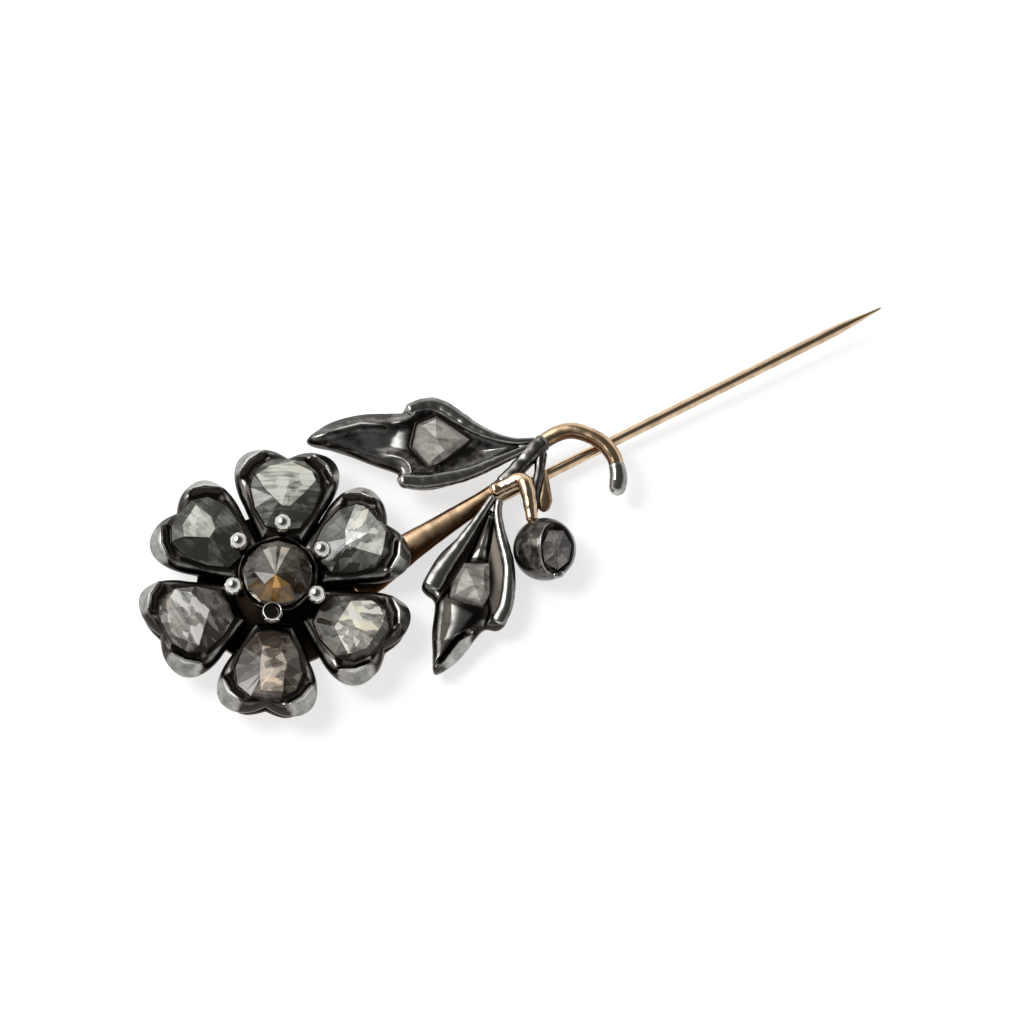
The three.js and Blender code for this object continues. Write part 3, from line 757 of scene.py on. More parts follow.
# Lobe cuts: bevel painted a touch lighter, a painted highlight on each crest, groove painted dark
PETAL_RIDGES = [
    ridge([(1.0, 5.15 * side), (3.05, 3.9 * side), (4.4, 2.0 * side)], 2.2, 1.8, 2.4, 0.12)
    for side in (1, -1)
]
PETAL_GIRDLE = [
    (3.3, 0.0), (3.3, 1.6), (2.2, 3.1), (0.3, 3.6), (-1.9, 2.9), (-3.7, 1.7),
    (-4.0, 0.0), (-3.7, -1.7), (-1.9, -2.9), (0.3, -3.6), (2.2, -3.1), (3.3, -1.6),
]

# Bearing from +X in degrees, distance from the flower's axis, length and width against the
# shared outline, crown polygon, summit, and the painted tones of the crown's facets in order,
# painted reflections that set how bright each facet is
PETALS = [
    (1, 8.95, 1.0, 1.0,
     [(1.9, 2.9), (2.7, 2.4), (3.1, -1.2), (1.5, -3.2), (-1.0, -0.3), (-0.3, 1.1)],
     (1.5, -0.5), [0.75, 0.5, 0.95, 0.7, 0.85, 0.6]),
    (57.5, 9.7, 1.0, 1.0,
     [(1.3, 3.0), (2.4, 1.6), (2.9, -0.5), (2.1, -2.5), (1.2, -3.0), (-0.2, -1.9), (-1.6, -0.6),
     (-1.6, 0.2), (0.1, 2.1)], (1.0, -0.4), [0.55, 0.7, 0.8, 0.9, 0.95, 0.85, 0.95, 0.8, 0.9]),
    (116, 8.9, 1.03, 0.97,
     [(2.6, -1.4), (0.6, -1.3), (-0.4, -0.6), (-0.5, 0.5), (1.6, 2.0), (2.4, 1.1)],
     (1.0, -0.2), [0.85, 0.75, 0.9, 0.95, 0.8, 0.9]),
    (178, 9.6, 0.97, 1.03,
     [(0.6, -3.3), (-0.8, -2.3), (-1.6, 0.1), (1.1, 3.2), (3.2, 0.9), (2.0, -2.3)],
     (0.7, 0.2), [0.6, 0.95, 0.85, 0.9, 0.65, 0.8]),
    (236.5, 9.75, 1.05, 0.95,
     [(-2.0, -0.9), (-1.8, 1.0), (-0.2, 1.8), (0.9, 1.6), (3.0, 1.7), (3.1, -0.5), (1.2, -0.8)],
     (0.9, 0.6), [0.5, 0.6, 0.65, 0.8, 0.75, 0.7, 0.6]),
    (297.5, 9.3, 1.0, 1.0,
     [(-1.5, 2.0), (0.3, 3.1), (2.2, 2.9), (2.7, 1.4), (2.8, -1.5), (1.6, -3.0), (-0.6, -1.7),
     (-1.3, -1.2)], (1.2, -0.1), [0.7, 0.6, 0.75, 0.65, 0.85, 0.95, 0.8, 0.9]),
]
# Painted tones of the girdle facets: painted reflections, nearly black on most
FLANK_TONES = [0.02, 0.08, 0.0, 0.05, 0.13, 0.02, 0.07, 0.0, 0.05, 0.1, 0.02]

# Pale tint, dark shade, colour of the painted warm sparks, direction of the growth lines,
# then how strong the lines, the painted inner faces and the painted warm sparks are
TINTS = [
    ((0.88, 0.88, 0.80), (0.045, 0.043, 0.036), (0.95, 0.88, 0.66), -0.2, 0.12, 0.35, 0.4),
    ((0.90, 0.92, 0.82), (0.06, 0.058, 0.047), (0.80, 0.70, 0.55), 0.5, 0.4, 0.2, 0.3),
    ((0.88, 0.91, 0.81), (0.045, 0.043, 0.036), (0.95, 0.92, 0.80), 1.2, 0.15, 0.15, 0.3),
    ((0.92, 0.90, 0.85), (0.06, 0.048, 0.037), (0.42, 0.26, 0.15), 1.5, 0.18, 0.4, 0.6),
    ((0.72, 0.62, 0.51), (0.055, 0.042, 0.032), (0.98, 0.74, 0.55), 0.2, 0.12, 0.35, 0.9),
    ((0.86, 0.84, 0.74), (0.05, 0.044, 0.034), (1.0, 0.93, 0.70), 1.0, 0.12, 0.45, 0.8),
]


# %% Build the petals
def build_petals():
    """Six settings and six stones; the gold backs and the foils keep their CAD shape."""
    for number, (bearing, out, long, wide, crown, summit, tones) in enumerate(PETALS, start=1):
        stretch = np.array([long, wide])
        outline = petal_outline(long, wide)
        girdle = np.array(PETAL_GIRDLE) * stretch
        rise = (out - PETAL_ROOT_RADIUS) * math.tan(PETAL_TILT)
        turn = math.radians(bearing)
        height = PETAL_ROOT_HEIGHT + rise + BACK_AND_GAP
        origin = (out * math.cos(turn), out * math.sin(turn), height)
        cuts = [{**cut, "line": np.array(cut["line"]) * stretch} for cut in PETAL_RIDGES]
        rings, marks = setting_rings(outline, polygon(girdle), {**PETAL_SHAPE, "ridges": cuts})
        placed = tilted(rings, -PETAL_TILT, turn, origin)
        ring_piece(
            f"petal_{number}_silver", placed, blackened_silver,
            [f"petal_{number}_setting"], marks,
        )
        stone = rose_diamond(f"petal diamond {number}", *TINTS[number - 1])
        flank = np.roll(FLANK_TONES, number * 3)
        facets, shades = rose_cut(girdle, crown, summit, (STONE_BOTTOM, 2.0, 2.7, 3.0), tones, flank)
        ring_piece(
            f"petal_{number}_stone", tilted(facets, -PETAL_TILT, turn, origin), stone,
            [f"petal_{number}_diamond"], tones=shades,
        )


build_petals()

# %% [markdown]
# ## Centre
#
# The middle stone sits in a collet, a flared silver tube whose rim is filed down a little
# between the claws. A turned shape like this is a profile carried round the axis: every
# ring has one radius and one height, and only the rim's height changes with the bearing.


# %% Turned shapes
def turned_rings(profile, columns, dip=None):
    """Rings from (radius, height) pairs about the z axis. Dip lowers each ring by its own
    weight times a wave that goes round the ring."""
    radius, height = np.array(profile, float).T
    angles = np.linspace(0, 2 * math.pi, columns, endpoint=False)
    wave, weights = dip if dip else (np.zeros(columns), np.zeros(len(radius)))
    x = radius[:, None] * np.cos(angles)
    y = radius[:, None] * np.sin(angles)
    z = height[:, None] - np.array(weights)[:, None] * wave
    return np.stack([x, y, z], axis=-1)


def arc(centre, radius, start, end, count):
    """Points on a circle arc in the (radius, height) plane; the angles are in degrees."""
    turn = np.radians(np.linspace(start, end, count))
    return list(zip(centre[0] + radius * np.cos(turn), centre[1] + radius * np.sin(turn)))


CLAW_COUNT = 6
CLAW_BEARING = math.radians(-4.5)
DIMPLED_CLAW = 5
COLLET_FOOT, COLLET_RIM = 1.96, 6.2
COLUMNS_ROUND = 240


def collet_radius(height):
    """Outside of the collet: 2.7 mm at its foot and 4.0 mm at its rim, straight between."""
    return 2.7 + 1.3 * (height - COLLET_FOOT) / (COLLET_RIM - COLLET_FOOT)


def build_collet():
    """Flared wall, a rounded rim that dips between the claws, and a stepped inside."""
    wall = [(collet_radius(h), h) for h in np.linspace(COLLET_FOOT, 5.8, 18)]
    rim = arc((3.84, 6.0), 0.14, -10, 180, 12)
    inside = [(3.6, 5.8), (3.48, 5.38), (3.0, 5.35), (2.4, 3.0)]
    profile = [(2.3, COLLET_FOOT), *wall, *rim, *inside]
    height = np.array(profile)[:, 1]
    turn = np.linspace(0, 2 * math.pi, COLUMNS_ROUND, endpoint=False) - CLAW_BEARING
    wave = 1 - np.cos(CLAW_COUNT * turn)
    rings = turned_rings(profile, COLUMNS_ROUND, (wave, 0.24 * ease(5.3, 6.0, height)))
    spread = np.ones((1, COLUMNS_ROUND))
    # The rim is a touch lighter, and the metal darker towards the foot and inside
    wear_and_highlight = ease(6.0, 6.15, height)[:, None] * spread * 0.05
    film_and_shade = (0.35 + 0.45 * ease(5.75, 4.6, height))[:, None] * spread
    marks = {"wear_and_highlight": wear_and_highlight, "film_and_shade": film_and_shade}
    ring_piece("centre_collet_silver", rings, blackened_silver, ["centre_collet"], marks)


build_collet()


# %% Claws
def build_claws():
    """Six round prongs up the outside of the collet, each with a ball melted on its end.
    The ball of the claw nearest the viewer has a worn dimple, and its inside is painted
    dark, a painted dark reflection."""
    head_out, head_up = 4.8, 7.3
    for number in range(1, CLAW_COUNT + 1):
        head = 1.08 if number == DIMPLED_CLAW else 0.94
        heights = np.linspace(4.0, 6.55, 14)
        prong = [(0.3 + 0.12 * float(ease(4.0, 4.5, h)), h) for h in heights]
        ball = arc((0, head_up), head, -60, 88, 26)
        profile = np.array(prong + ball)
        rings = turned_rings(profile, 48)
        lean = collet_radius(np.minimum(profile[:, 1], 6.0)) + 0.48
        lean = lean + (head_out - lean) * ease(6.0, 7.0, profile[:, 1])
        rings[..., 0] += lean[:, None]
        high = rings[..., 2].copy()
        # Top of each ball painted light, a painted highlight on worn metal; the prong darker towards the
        # collet
        marks = {"wear_and_highlight": 0.7 * ease(6.7, 7.3, high), "film_and_shade": 0.6 * ease(6.8, 5.8, high)}
        # Painted dark reflection: the dimple's inside is given full film and no wear
        if number == DIMPLED_CLAW:
            away = np.hypot(rings[..., 0] - head_out, rings[..., 1])
            dimple = np.where(high > head_up, ease(0.88, 0.7, away), 0)
            rings[..., 2] = high + (head_up + 0.1 - high) * dimple
            marks = {"wear_and_highlight": marks["wear_and_highlight"] * (1 - dimple), "film_and_shade": np.maximum(marks["film_and_shade"], dimple)}
        placed = tilted(rings, 0, CLAW_BEARING + math.radians(60 * (number - 1)), (0, 0, 0))
        name = f"centre_claw_{number}"
        ring_piece(f"{name}_silver", placed, blackened_silver, [name], marks)


build_claws()


# %% Centre stone
CENTRE_STONE_TURN = math.radians(-28.4)


def build_centre_stone():
    """A smoky stone with a low summit: tall facets above it painted pale and one below painted
    golden, painted reflections.
    """
    corners = np.linspace(-math.pi, math.pi, 12, endpoint=False)
    girdle = [(3.42 * math.cos(a), 3.42 * math.sin(a)) for a in corners]
    crown = [
        (-2.3, -0.5), (-2.0, 1.0), (-1.45, 1.8), (-0.8, 2.1), (-0.1, 2.2), (0.35, 2.2), (1.2, 2.0),
        (2.0, 1.2), (2.3, -0.3), (1.3, -1.9), (0.4, -2.2), (-0.5, -2.2), (-1.3, -1.8),
    ]
    # Painted tones of the crown and girdle facets; 2 added paints a facet warm
    over = [0.08, 0.12, 2.3, 2.95, 2.35, 0.0, 0.08, 0.15, 0.85, 0.1, 0.5, 0.85, 0.12]
    flank = [0.1, 0.06, 2.1, 2.3, 2.25, 2.05, 0.0, 0.05, 0.12, 0.2, 0.2, 0.12]
    heights = (5.6, 6.15, 7.55, 7.9)
    facets, shades = rose_cut(girdle, crown, (-0.2, -0.9), heights, over, flank)
    smoky = rose_diamond(
        "smoky diamond", (0.70, 0.67, 0.60), (0.035, 0.024, 0.015), (0.85, 0.48, 0.16),
        1.07, 0.1, 0.12, 0.2, 0.2,
    )
    placed = tilted(facets, 0, CENTRE_STONE_TURN, (0, 0, 0))
    ring_piece("centre_stone", placed, smoky, ["centre_diamond"], tones=shades)


build_centre_stone()

# %% [markdown]
# ## Pin wire
#
# The wire is drawn gold, 1.1 mm thick, filed to a point over its last 6.5 mm. The point
# is left very slightly blunt, as on a pin that has been in use for a long time.


# %% Rods along a path
def smooth_path(points, count):
    """Catmull-Rom curve through the points, then resampled at even steps of its length."""
    points = np.array(points, float)
    ends = np.vstack([2 * points[0] - points[1], points, 2 * points[-1] - points[-2]])
    t = np.linspace(0, 1, 40, endpoint=False)[None, :, None]
    a, b, c, d = ends[:-3, None], ends[1:-2, None], ends[2:-1, None], ends[3:, None]
    cubic = 2 * b + (c - a) * t
    cubic = cubic + (2 * a - 5 * b + 4 * c - d) * t**2 + (3 * b - a - 3 * c + d) * t**3
    curve = np.vstack([(0.5 * cubic).reshape(-1, 3), points[-1:]])
    travelled = np.concatenate([[0], np.cumsum(np.linalg.norm(np.diff(curve, axis=0), axis=1))])
    at = travelled[-1] * (0.5 - 0.5 * np.cos(np.linspace(0, math.pi, count)))
    return np.column_stack([np.interp(at, travelled, curve[:, axis]) for axis in range(3)]), at


def rod_rings(points, width, height, count=120, sides=48, square=1.0, dents=0.0, shaded=0.0):
    """Rings along a smooth path. The section is an oval, or a rounded box where square is
    under 1; width and height are tables of [share of the length, size]. Both ends close in
    a quarter of a circle, and dents make the size waver a little, as hammered wire does.
    Shaded paints shade on the side on the path's right; every rod also gets painted shade
    on its underside and a painted highlight along its top."""
    centre, at = smooth_path(points, count)
    share = at / at[-1]
    tangent = np.gradient(centre, axis=0)
    tangent[0], tangent[-1] = centre[1] - centre[0], centre[-1] - centre[-2]
    tangent /= np.linalg.norm(tangent, axis=1)[:, None]
    side = np.cross([0.0, 0.0, 1.0], tangent)
    side /= np.linalg.norm(side, axis=1)[:, None]
    rise = np.cross(tangent, side)
    wide = np.interp(share, *np.array(width, float).T) / 2
    high = np.interp(share, *np.array(height, float).T) / 2
    soft = np.minimum(at, at[-1] - at) / np.maximum(np.minimum(wide, high), 1e-6)
    close = np.sqrt(np.clip(1 - (1 - np.clip(soft, 0, 1)) ** 2, 0.0016, 1))
    waver = 1 + dents * (np.sin(at * 2.3) * np.sin(at * 0.9 + 1) + 0.5 * np.sin(at * 5.1))
    angles = np.linspace(0, 2 * math.pi, sides, endpoint=False)
    across = np.sign(np.cos(angles)) * np.abs(np.cos(angles)) ** square
    over = np.sign(np.sin(angles)) * np.abs(np.sin(angles)) ** square
    rings = (
        centre[:, None]
        + side[:, None] * (wide * close * waver)[:, None, None] * across[None, :, None]
        + rise[:, None] * (high * close * waver)[:, None, None] * over[None, :, None]
    )
    # Painted shade under the rod, a painted highlight along its top, and painted shade on one side
    low = np.broadcast_to(np.clip(0.15 - over, 0, 1), rings.shape[:2])
    top_highlight = np.broadcast_to(ease(0.5, 1.0, over), rings.shape[:2])
    shade = shaded * np.broadcast_to(ease(0.4, -0.8, across), rings.shape[:2])
    return rings, {"film_and_shade": np.maximum(0.75 * low, shade), "wear_and_highlight": 0.35 * top_highlight}


def rod_piece(name, path, width, height, material, slot, node, wear_and_highlight=1.0, film=0.0, **section):
    """A rod as one piece. Its mark of wear and painted highlight is multiplied by the given
    factor, and its mark of film and painted shade is at least film."""
    rings, marks = rod_rings(path, width, height, **section)
    marks = {"wear_and_highlight": marks["wear_and_highlight"] * wear_and_highlight, "film_and_shade": np.maximum(marks["film_and_shade"], film)}
    ring_piece(name, rings, material, [node], marks)


# %% Build the wire
PIN_ROOT = (12.5, -1.5, 0.71)
PIN_POINT = (67.2, -2.5, 3.1)


def build_wire():
    """Straight round rod whose width falls away over the last 6.5 mm."""
    taper = [[0, 1.1], [0.88, 1.1], [0.91, 1.02], [0.945, 0.76], [0.975, 0.42], [1, 0.2]]
    rod_piece(
        "pin_wire_gold", [PIN_ROOT, PIN_POINT], taper, taper, red_gold, "gold", "pin_wire",
        count=160, sides=40,
    )


build_wire()

# %% [markdown]
# ## Stem
#
# The stem is one gold rod, hammered broad and flat where it is soldered behind the flower,
# thinner along its length, and bent over into a crook. Its cut end is tipped with silver.


# %% Build the stem
STEM_PATH = [
    (6.4, -3.3, 1.15), (9.5, -2.85, 1.25), (13.2, -2.4, 1.9), (18.0, -1.95, 2.2),
    (24.0, -1.4, 2.75), (27.6, -0.3, 3.1), (30.7, 0.75, 3.45), (33.4, 0.35, 3.75),
    (35.3, -1.9, 3.9), (35.8, -4.0, 3.75), (35.5, -5.5, 3.45),
]
STEM_WIDTH = [
    [0, 3.8], [0.08, 3.8], [0.17, 3.4], [0.29, 2.6], [0.47, 1.8], [0.6, 1.5], [0.79, 1.6], [1, 1.5],
]
STEM_DEPTH = [[0, 0.9], [0.04, 1.0], [0.12, 0.95], [0.29, 1.2], [0.47, 1.4], [1, 1.5]]


def build_stem():
    """One broad rod, painted shade on one side. Past the spray its film thins out and the crook
    is painted lighter, a painted highlight.
    """
    rings, marks = rod_rings(STEM_PATH, STEM_WIDTH, STEM_DEPTH, 260, 56, 0.85, 0.008, 0.5)
    share = 0.5 - 0.5 * np.cos(np.linspace(0, math.pi, len(rings)))[:, None]
    painted_crook_light = ease(0.65, 0.75, share)
    marks = {"wear_and_highlight": marks["wear_and_highlight"] * (1 + painted_crook_light), "film_and_shade": marks["film_and_shade"] * (1 - 0.5 * painted_crook_light)}
    ring_piece("main_stem_gold", rings, brown_gold, ["main_stem"], marks)


build_stem()


# %% Build what grows from the stem
def build_stem_details():
    """The silver sheath and tip over the stem, the bud's branch and stalk, and the tab."""
    branch = [(23.2, -1.5, 3.1), (25.0, -1.7, 3.5), (26.4, -2.0, 3.9), (26.4, -3.4, 4.2), (25.2, -6.7, 4.0)]
    girth = [[0, 1.8], [0.15, 1.44], [0.4, 1.62], [0.7, 1.38], [1, 1.2]]
    # The branch and the sheath get painted shade on their right side
    rod_piece(
        "bud_branch_gold", branch, girth, girth, red_gold, "gold", "bud_stalk",
        count=140, sides=40, square=0.85, dents=0.05, shaded=0.3,
    )
    sheath = [
        (24.3, -1.2, 3.05), (26.2, -0.75, 3.25), (27.6, -0.25, 3.3), (29.4, 0.4, 3.45), (31.0, 0.8, 3.55),
    ]
    girth = [[0, 1.3], [0.4, 1.6], [0.8, 1.8], [1, 1.5]]
    rod_piece(
        "spray_sheath_silver", sheath, girth, girth, blackened_silver, "silver", "main_stem",
        wear_and_highlight=0.5, film=0.15, count=140, sides=56, square=0.7, dents=0.04, shaded=0.3,
    )
    tip = [(35.78, -4.4, 3.68), (35.45, -5.7, 3.42), (34.9, -6.7, 3.1), (34.1, -7.5, 2.75)]
    size = [[0, 1.45], [0.2, 1.62], [0.6, 1.8], [0.9, 1.6], [1, 1.4]]
    rod_piece(
        "stem_tip_silver", tip, size, size, blackened_silver, "silver", "stem_tip",
        count=80, sides=48, square=0.8,
    )
    stalk = [(29.9, 0.2, 3.2), (28.6, -1.8, 3.2), (27.0, -3.8, 3.25), (25.7, -5.8, 3.3), (25.5, -6.8, 3.3)]
    thick = [[0, 1.4], [0.3, 1.0], [1, 1.0]]
    rod_piece(
        "bud_stalk_silver", stalk, thick, thick, blackened_silver, "gold", "bud_stalk",
        wear_and_highlight=0.5, film=0.25, count=110, sides=40, square=0.9, dents=0.02,
    )
    tab = [(29.3, -1.6, 2.5), (28.4, -3.3, 2.75), (27.4, -5.0, 2.8), (27.0, -5.7, 2.7)]
    broad = [[0, 0.5], [0.4, 1.1], [0.75, 1.7], [0.92, 1.2], [1, 0.5]]
    thin = [[0, 0.5], [0.6, 0.8], [1, 0.45]]
    rod_piece(
        "stalk_tab_gold", tab, broad, thin, brown_gold, "gold", "stalk_tab",
        count=80, sides=40, square=0.9,
    )


build_stem_details()

# %% [markdown]
# ## Leaves
#
# Each leaf is a long silver shell with one stone near its broad end. Ridges run along it
# as veins: between them the metal is dished, so it throws long soft reflections.

# %% Leaf outlines, ridges and stones
STRAND_HEIGHT = 1.6
LEAF_STONE_HEIGHTS = (1.17, 1.65, 2.15, 2.4)
LEAF_TINT = ((0.80, 0.77, 0.70), (0.07, 0.06, 0.05), (0.8, 0.66, 0.5), 0.8, 0.1, 0.15, 0.3)
LEAF_SHAPE = {"rim": 0.9, "border": 1.75, "seat": 0.9, "roll": 0.9}
LEAVES = {
    "upper_leaf": {
        "middle": (21.2, 5.2, 2.3),
        "bearing": 152,
        "pitch": -1,
        "outline": [
            (13.4, -0.5), (12.2, -1.9), (10.3, -2.9), (7.8, -3.5), (5.2, -3.6), (3.9, -3.6), (3.5, -4.2),
            (2.6, -4.6), (0.9, -4.8), (-0.4, -4.4), (-1.9, -3.4), (-3.8, -2.0), (-5.8, -0.9), (-7.4, -0.3),
            (-7.9, 0.1), (-7.6, 0.7), (-5.9, 1.9), (-3.8, 3.0), (-2.3, 3.5), (-0.6, 4.2), (1.3, 4.6),
            (3.0, 4.5),
            (4.0, 4.2), (4.4, 3.6), (4.3, 3.0), (5.0, 2.6), (6.1, 2.2), (7.6, 1.6), (9.2, 0.9), (11.2, 0.2),
        ],
        # Darkening: all the metal inside the border is made darker by this much
        "soot": 0.2,
        "lip": 1.2,
        "slopes": [(7.4, 3.2, 0.6)],
        "strands": [
            ([(4.3, 4.0), (3.4, 3.95), (1.3, 4.0), (-2.5, 3.2), (-5.7, 1.8), (-8.2, 0.6), (-9.5, 0.1)],
             [[0, 1.4], [0.15, 1.6], [0.4, 1.5], [0.7, 1.1], [0.9, 0.8], [1, 0.6]]),
            ([(3.5, -3.5), (1.7, -4.15), (0.1, -4.0), (-1.6, -2.9), (-3.2, -1.8), (-5.2, -0.8), (-7.4, -0.3),
              (-9.5, -0.4)], [[0, 1.3], [0.2, 1.7], [0.45, 1.5], [0.75, 0.9], [1, 0.6]]),
        ],
        # Painted highlights: each patch is a pool of reflected light painted as clean metal
        "highlight_patches": [
            ([(8.6, -1.5), (3.2, -1.6), (3.3, 0.6), (5.6, 1.2), (8.2, 0.3)], 0.4),
            ([(-3.9, 0.1), (-5.6, 0.4), (-4.1, 1.2)], 0.7),
        ],
        "girdle": [(2.5, -2.2), (0.5, -3.1), (-2.9, -0.5), (-0.5, 1.5), (1.1, 2.6), (3.0, 0.3)],
        "crown": [(1.9, -1.8), (0.5, -2.5), (-2.0, -0.4), (-0.3, 0.9), (0.9, 1.9), (2.3, 0.2)],
        "summit": (0.5, -0.4),
        # Painted tones of the crown's facets, painted reflections
        "tones": [0.3, 0.45, 0.95, 0.35, 0.55, 0.75],
        # Tip cut: the metal outside it painted dark, a painted dark reflection, with a painted highlight on
        # its crest
        "ridges": [
            ridge(
                [(13.2, -0.6), (10.6, -1.3), (8.0, -2.0), (6.1, -1.9), (4.2, -1.4)],
                2.2, 1.75, 3.0, shine=0.0, soot=0.25, glint=0.9, inner=0.0,
            ),
        ],
    },
    "lower_leaf": {
        "middle": (16.9, -9.3, 1.45),
        "bearing": 224,
        "pitch": 3.5,
        "outline": [
            (9.7, -0.8), (7.5, -1.7), (5.5, -2.4), (3.0, -2.9), (2.3, -3.4), (2.0, -4.2), (1.4, -4.8),
            (0, -4.7),
            (-2.4, -4.1), (-4.9, -2.8), (-7.2, -1.9), (-8.3, -1.0), (-8.3, -0.4), (-7.8, 0.4), (-6.3, 1.7),
            (-3.5, 3.3), (-1.7, 4.1), (0.3, 4.4), (2.5, 4.4), (3.5, 3.8), (3.8, 2.6), (4.9, 2.0), (6.4, 1.5),
            (8.1, 0.7),
        ],
        # Darkening: all the metal inside the border is made darker by this much
        "soot": 0.85,
        "lip": 1.5,
        "strands": [
            ([(-9.7, -0.7), (-8.2, -1.1), (-5.6, -1.8), (-3.0, -2.6), (-0.5, -3.4), (1.5, -3.8)],
             [[0, 0.8], [0.3, 1.1], [0.6, 1.5], [0.9, 1.9], [1, 1.8]]),
            ([(-9.6, -0.1), (-8.0, 0.2), (-6.0, 1.2), (-3.5, 2.7), (-1.6, 3.4), (1.0, 3.9), (3.0, 3.6)],
             [[0, 0.8], [0.3, 1.1], [0.6, 1.3], [0.9, 1.5], [1, 1.4]]),
        ],
        # Painted highlights: each patch is a pool of reflected light painted as clean metal
        "highlight_patches": [
            ([(-6.8, -0.3), (-2.4, -1.0), (-2.9, 0.9)], 0.85),
            ([(2.0, -1.6), (4.4, -1.2), (6.8, -1.0), (6.3, 0.4), (4.4, 1.2), (2.4, 1.4)], 0.3),
        ],
        "domes": [
            ([(2.6, 0.0), (4.4, 0.1), (6.4, -0.1), (9.2, -0.7)], (2.8, 2.5, 1.9, 0.5), 2.1),
            ([(-7.4, -0.4), (-2.4, -0.2)], (0.5, 1.1), 1.9),
        ],
        "girdle": [(-2.1, -1.4), (-2.8, 1.0), (0.2, 2.0), (1.8, 1.9), (2.1, 0), (1.9, -1.8), (0.1, -1.9)],
        "crown": [(-1.5, -1.0), (-2.0, 0.7), (0.2, 1.4), (1.3, 1.3), (1.5, 0), (1.4, -1.2), (0.1, -1.3)],
        "summit": (0.0, 0.3),
        # Painted tones of the crown's facets, painted reflections
        "tones": [0.4, 0.55, 0.75, 0.5, 0.65, 0.35, 0.6],
        # Cut by the tip: bevel painted a little lighter, a faint painted highlight on its crest, groove
        # painted dark
        "ridges": [
            ridge([(4.6, 1.9), (5.9, 0.7), (8.1, 0.0), (9.3, -0.6)], 1.9, 1.3, 0.8, 0.2, 0.0, 0.4),
        ],
    },
}


def build_leaves():
    """Two settings and two stones, each turned and tilted into its place on the stem."""
    for name, leaf in LEAVES.items():
        outline = polygon(smooth_loop(leaf["outline"]))
        own = ("ridges", "highlight_patches", "domes", "slopes", "soot", "lip")
        shape = {**LEAF_SHAPE, **{part: leaf[part] for part in own if part in leaf}}
        rings, marks = setting_rings(outline, polygon(leaf["girdle"]), shape)
        place = (math.radians(leaf["pitch"]), math.radians(leaf["bearing"]), leaf["middle"])
        setting = [f"{name}_setting"]
        ring_piece(f"{name}_silver", tilted(rings, *place), blackened_silver, setting, marks)
        for number, (line, breadth) in enumerate(leaf["strands"], start=1):
            path = [(x, y, STRAND_HEIGHT) for x, y in line]
            rings, marks = rod_rings(path, breadth, [[0, 1.2], [0.7, 1.1], [1, 0.8]], 160, 48, 0.9, 0.03)
            marks["film_and_shade"] = np.maximum(marks["film_and_shade"], 0.1)
            strand = f"{name}_strand_{number}"
            ring_piece(strand, tilted(rings, *place), blackened_silver, setting, marks)
        stone = rose_diamond(f"{name} diamond", *LEAF_TINT)
        outlines = (leaf["girdle"], leaf["crown"], leaf["summit"])
        # The leaf stones' girdle facets are painted lighter than the petal stones'
        flank = np.array(FLANK_TONES) + 0.25
        facets, shades = rose_cut(*outlines, LEAF_STONE_HEIGHTS, leaf["tones"], flank)
        facets = tilted(facets, *place)
        ring_piece(f"{name}_stone", facets, stone, [f"{name}_diamond"], tones=shades)


build_leaves()

# %% [markdown]
# ## Bud
#
# The bud is a silver ball with an oval opening down its front, like a bud whose petals are
# about to part, and one more stone shows in the opening. The ball is a sphere by longitude
# and latitude, and its radius drops inside the oval to make the opening.

# %% Build the bud
BUD_CENTRE = np.array([25.1, -9.4, 3.15])
BUD_RADIUS = 3.15
BUD_UP = np.array([0.441, 0.815, 0.375])
BUD_ACROSS = np.array([0.876, -0.300, -0.378])
BUD_FRONT = np.cross(BUD_ACROSS, BUD_UP)
OPENING_MIDDLE = 0.25
OPENING_HALF_WIDTH, OPENING_HALF_HEIGHT = 1.9, 2.6
OPENING_DEPTH = 0.55
LIP_HEIGHT = 0.07


def bud_frame(points):
    """From the bud's own across, up and front into the model's frame."""
    across, up, front = (points[..., axis : axis + 1] for axis in range(3))
    return BUD_CENTRE + across * BUD_ACROSS + up * BUD_UP + front * BUD_FRONT


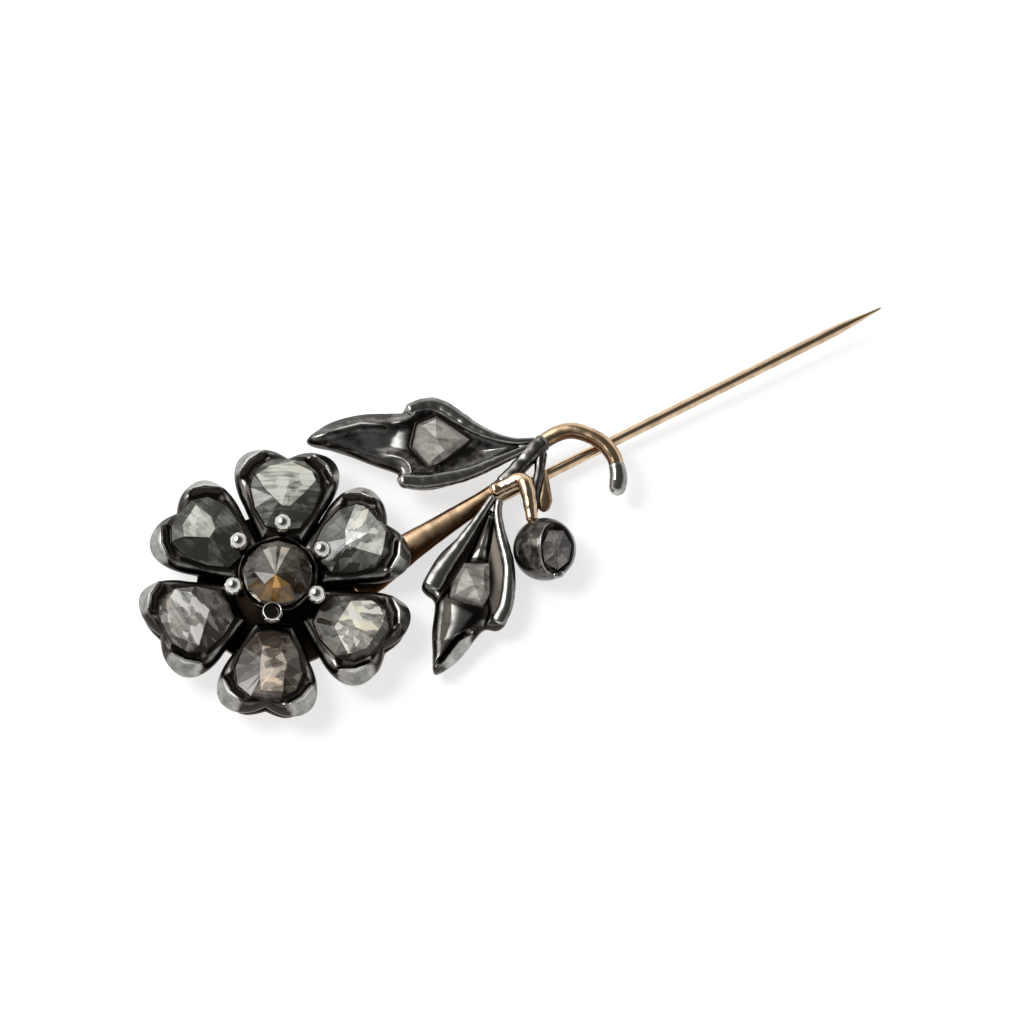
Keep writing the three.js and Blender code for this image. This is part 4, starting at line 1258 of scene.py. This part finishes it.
def build_bud():
    """Sphere whose radius is less inside the opening by the depth of its recess. The
    opening is narrow at its ends, and its two lips are raised, a little worn, and carry a
    painted highlight."""
    latitude = np.radians(np.linspace(-89, 89, 150))[:, None]
    longitude = np.radians(np.linspace(-180, 180, 480, endpoint=False))[None, :]
    level = np.cos(latitude)
    upright = np.sin(latitude) * np.ones_like(longitude)
    outward = np.stack([level * np.sin(longitude), upright, level * np.cos(longitude)], axis=-1)
    across, up, front = np.moveaxis(BUD_RADIUS * outward, -1, 0)
    taper = np.sqrt(np.clip(1 - ((up - 0.1) / OPENING_HALF_HEIGHT) ** 2, 0, 1))
    gap = OPENING_HALF_WIDTH * taper - np.abs(across - OPENING_MIDDLE)
    inside = ease(0.0, 0.12, gap) * (front > 0)
    lip = np.exp(-((gap / 0.14) ** 2)) * (gap < 0.02) * (front > 0) * (np.abs(up) < OPENING_HALF_HEIGHT)
    radius = BUD_RADIUS - OPENING_DEPTH * inside + LIP_HEIGHT * lip
    rings = radius[..., None] * outward
    # The lips carry a painted highlight; the recess is painted dark, patina and painted shade, and the rest
    # of the ball a little darker
    marks = {"wear_and_highlight": 0.12 * lip, "film_and_shade": np.maximum(0.9 * inside, 0.2 * (1 - lip))}
    ring_piece("bud_cup_silver", bud_frame(rings), blackened_silver, ["bud_cup"], marks)
    girdle = [(1.7, 0.5), (0.8, 1.9), (-0.7, 1.9), (-1.65, 0.4), (-1.3, -1.3), (0.2, -2.05), (1.4, -1.2)]
    crown = [(0.1, 1.0), (-0.15, 1.3), (-0.35, 1.0), (-0.35, -1.1), (-0.1, -1.4), (0.1, -1.0)]
    heights = (1.6, 2.3, 2.8, 2.9)
    # Painted tones of the bud stone's facets
    flank = [0.4, 0.05, 0.3, 0.12, 0.02, 0.1, 0.35]
    over = [0.3, 0.1, 0.35, 0.05, 0.4, 0.3]
    facets, shades = rose_cut(girdle, crown, (-0.1, 0.0), heights, over, flank)
    facets = facets + np.array([OPENING_MIDDLE, 0.0, 0.0])
    stone = rose_diamond(
        "bud diamond", (0.60, 0.56, 0.53), (0.03, 0.025, 0.022), (0.6, 0.5, 0.4), 0.2, 0.1, 0.2, 0.3
    )
    ring_piece("bud_stone", bud_frame(facets), stone, ["bud_diamond"], tones=shades)
    bead = np.array([(0.1, -2.5, 1.8), (0.6, -2.6, 1.8), (1.2, -2.3, 1.9)])
    rings, marks = rod_rings(bead, [[0, 0.5], [1, 0.7]], [[0, 0.5], [1, 0.6]], 40, 32, 0.7)
    ring_piece("bud_bead_silver", bud_frame(rings), blackened_silver, ["bud_cup"], marks)


build_bud()

# %% [markdown]
# ## Backs, foils and the plate behind the flower
#
# These stay as they are in the CAD model, because their shapes are plain sheet metal. They
# only need their finish: gold plate for the backs, with painted shade on every face that
# doesn't look down, and crinkled foil under the stones.

# %% Finish of the CAD nodes that stay
for name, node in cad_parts.items():
    finish = crinkled_foil if name.endswith("_foil") else gold_plate
    node.data.materials.clear()
    node.data.materials.append(finish)
print("finished", len(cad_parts), "CAD nodes")

# %% [markdown]
# ## Table
#
# The table is a sheet of frosted white, lit a little from below as on a jeweller's light
# box, so that shadows stay faint.


# %% Build the table
def build_table():
    """One large plain square that glows a little."""
    half = 1.5
    mesh = bpy.data.meshes.new("table")
    corners = [(-half, -half, 0), (half, -half, 0), (half, half, 0), (-half, half, 0)]
    mesh.from_pydata(corners, [], [(0, 1, 2, 3)])
    top = bpy.data.objects.new("table", mesh)
    bpy.context.scene.collection.objects.link(top)
    material, _, shader = new_material("frosted white")
    set_sockets(shader, {"Base Color": (0.5, 0.5, 0.5, 1), "Roughness": 0.9, "Specular IOR Level": 0.1})
    set_sockets(shader, {"Emission Color": (1, 1, 1, 1), "Emission Strength": 0.68})
    mesh.materials.append(material)


build_table()
